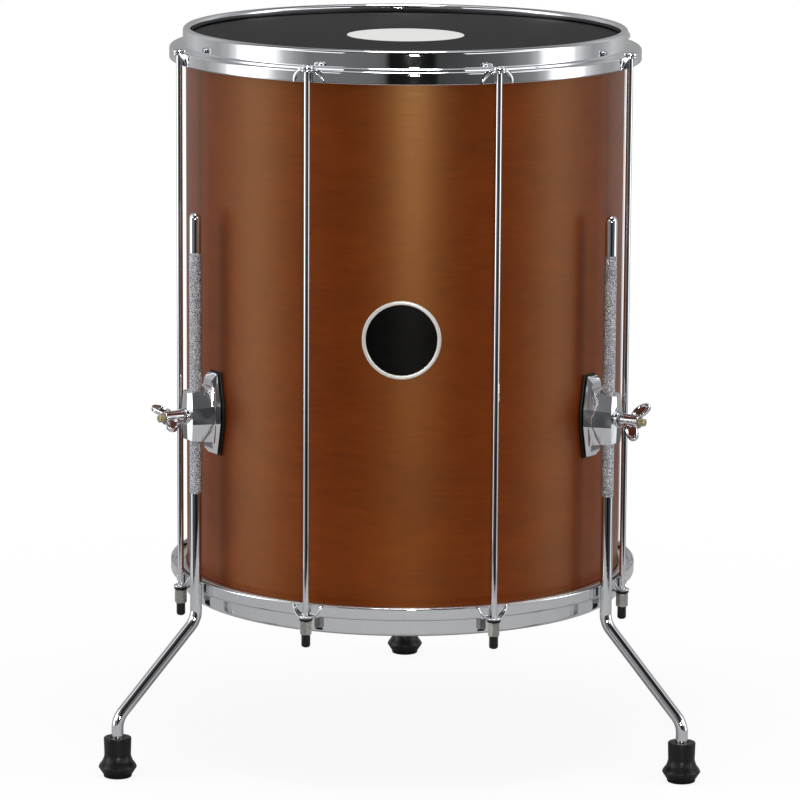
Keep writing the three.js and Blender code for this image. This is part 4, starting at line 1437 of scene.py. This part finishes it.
disc_rings = [circle(FLOOR_R * 1000 * k / 8, 0, LARGE_SIDES) for k in range(1, 9)]
disc_form = loft([[(0, 0, 0)]] + disc_rings)
disc_mesh = bpy.data.meshes.new("floor")
disc_mesh.from_pydata([in_metres(p) for p in disc_form.points], [], disc_form.faces)
disc_mesh.flip_normals()
disc_mesh.materials.append(paper_paint)
floor = in_scene("floor", disc_mesh)

# The studio's wall tones by direction in degrees, zero behind the camera: a dark slot there,
# bright banks at both sides and dimmer walls behind the drum.
WALL_TONES = [
    (-180, 0.35), (-158, 0.42), (-136, 0.62), (-112, 0.4), (-103, 0.55), (-97, 0.95),
    (-92, 2.0), (-86, 3.6), (-76, 3.4), (-70, 1.4), (-64, 0.62), (-57, 0.36), (-50, 0.21),
    (-14, 0.155), (-9, 0.11), (-8, 0.01), (15, 0.01), (17, 0.06), (35, 0.085), (50, 0.13),
    (66, 0.3), (72, 0.6), (77, 1.6), (81, 2.9), (91, 2.9), (98, 0.95), (105, 0.55),
    (113, 0.38), (121, 0.42), (135, 0.66), (158, 0.42), (180, 0.35),
]
BOX_TONE = (1.8, 1.8, 1.8, 1)
BOX_FROM = radians(32)
BOX_TO = radians(72)
BOX_FOOT = (0.2, 0.28)
BOX_TOP = 0.5
CEILING_TONE = (3.4, 3.4, 3.4, 1)
CEILING_EDGE = (0.88, 0.94)

# How the walls dim towards the ceiling and the floor: from and to, by height and by strength
WALL_HEAD = (0.5, 0.85, 1.0, 0.25)
WALL_FOOT = (-0.2, -0.15, 0.4, 1.0)

world = bpy.data.worlds.new("studio")
bpy.context.scene.world = world
world.use_nodes = True
world.node_tree.nodes.clear()
n = Nodes(world.node_tree)
way = n.add("ShaderNodeTexCoord").outputs["Generated"]
east, north, up = n.add("ShaderNodeSeparateXYZ", {0: way}).outputs
azimuth = n.math("ARCTAN2", east, n.math("MULTIPLY", north, -1))
walls = n.add("ShaderNodeValToRGB", {0: n.math("MULTIPLY_ADD", azimuth, 1 / FULL, 0.5)})
ramp = walls.color_ramp
ramp.interpolation = "LINEAR"
ramp.elements.remove(ramp.elements[-1])
for index, (degrees, level) in enumerate(WALL_TONES):
    position = degrees / 360 + 0.5
    stop = ramp.elements.new(position) if index else ramp.elements[0]
    stop.position = position
    stop.color = (level, level, level, 1)
turned_by = n.math("ABSOLUTE", azimuth)
past_near = n.math("GREATER_THAN", turned_by, BOX_FROM)
box_width = n.math("MULTIPLY", past_near, n.math("LESS_THAN", turned_by, BOX_TO))
box_height = n.math("MULTIPLY", n.remap(up, *BOX_FOOT), n.math("LESS_THAN", up, BOX_TOP))
boxes = n.mixed(n.math("MULTIPLY", box_width, box_height), walls.outputs[0], BOX_TONE)
room = n.mixed(n.remap(up, *CEILING_EDGE), boxes, CEILING_TONE)
dimmed = n.math("MULTIPLY", n.remap(up, *WALL_HEAD), n.remap(up, *WALL_FOOT))
studio = n.add("ShaderNodeBackground", {"Color": room, "Strength": dimmed}).outputs[0]
backdrop = n.add("ShaderNodeBackground", {"Color": WHITE, "Strength": 1.0}).outputs[0]
seen = n.add("ShaderNodeLightPath").outputs["Is Camera Ray"]
n.add("ShaderNodeOutputWorld", {0: n.shaders(seen, studio, backdrop)})


def soft_box(name, place, target, width, height, power, colour=(1, 1, 1)):
    """A rectangular lamp turned to its target; places in metres, power in watts."""
    light = bpy.data.lights.new(name, "AREA")
    light.shape = "RECTANGLE"
    light.size = width
    light.size_y = height
    light.energy = power
    light.color = colour
    turn = (Vector(target) - Vector(place)).to_track_quat("-Z", "Y").to_matrix().to_4x4()
    in_scene(name, light).matrix_world = Matrix.Translation(place) @ turn


soft_box("overhead_box", (0, -0.3, 2.9), (0, AXIS_Y, 0.3), 0.8, 0.8, 30)
soft_box("front_lamp", (0.28, -3.4, 0.68), (0, AXIS_Y, 0.5), 0.24, 0.36, 32, (1, 0.95, 0.88))

# Camera at the photograph's angle
CAMERA_PLACE = (0.0456, -4.7870, 1.2662)
HEADING = -0.0104
PITCH = 0.1893
ROLL = 0.0061
lens = bpy.data.cameras.new("camera")
lens.lens = 204.96
lens.sensor_width = 36
lens.clip_start = 0.1
lens.clip_end = 50
level = Vector((cos(HEADING), -sin(HEADING), 0))
ahead = Vector((sin(HEADING) * cos(PITCH), cos(HEADING) * cos(PITCH), -sin(PITCH)))
rise = level.cross(ahead)
right = cos(ROLL) * level + sin(ROLL) * rise
upward = -sin(ROLL) * level + cos(ROLL) * rise
facing = Matrix((right, upward, -ahead)).transposed().to_4x4()
camera = in_scene("camera", lens)
camera.matrix_world = Matrix.Translation(CAMERA_PLACE) @ facing
bpy.context.scene.camera = camera
bpy.context.scene.view_settings.view_transform = "Standard"
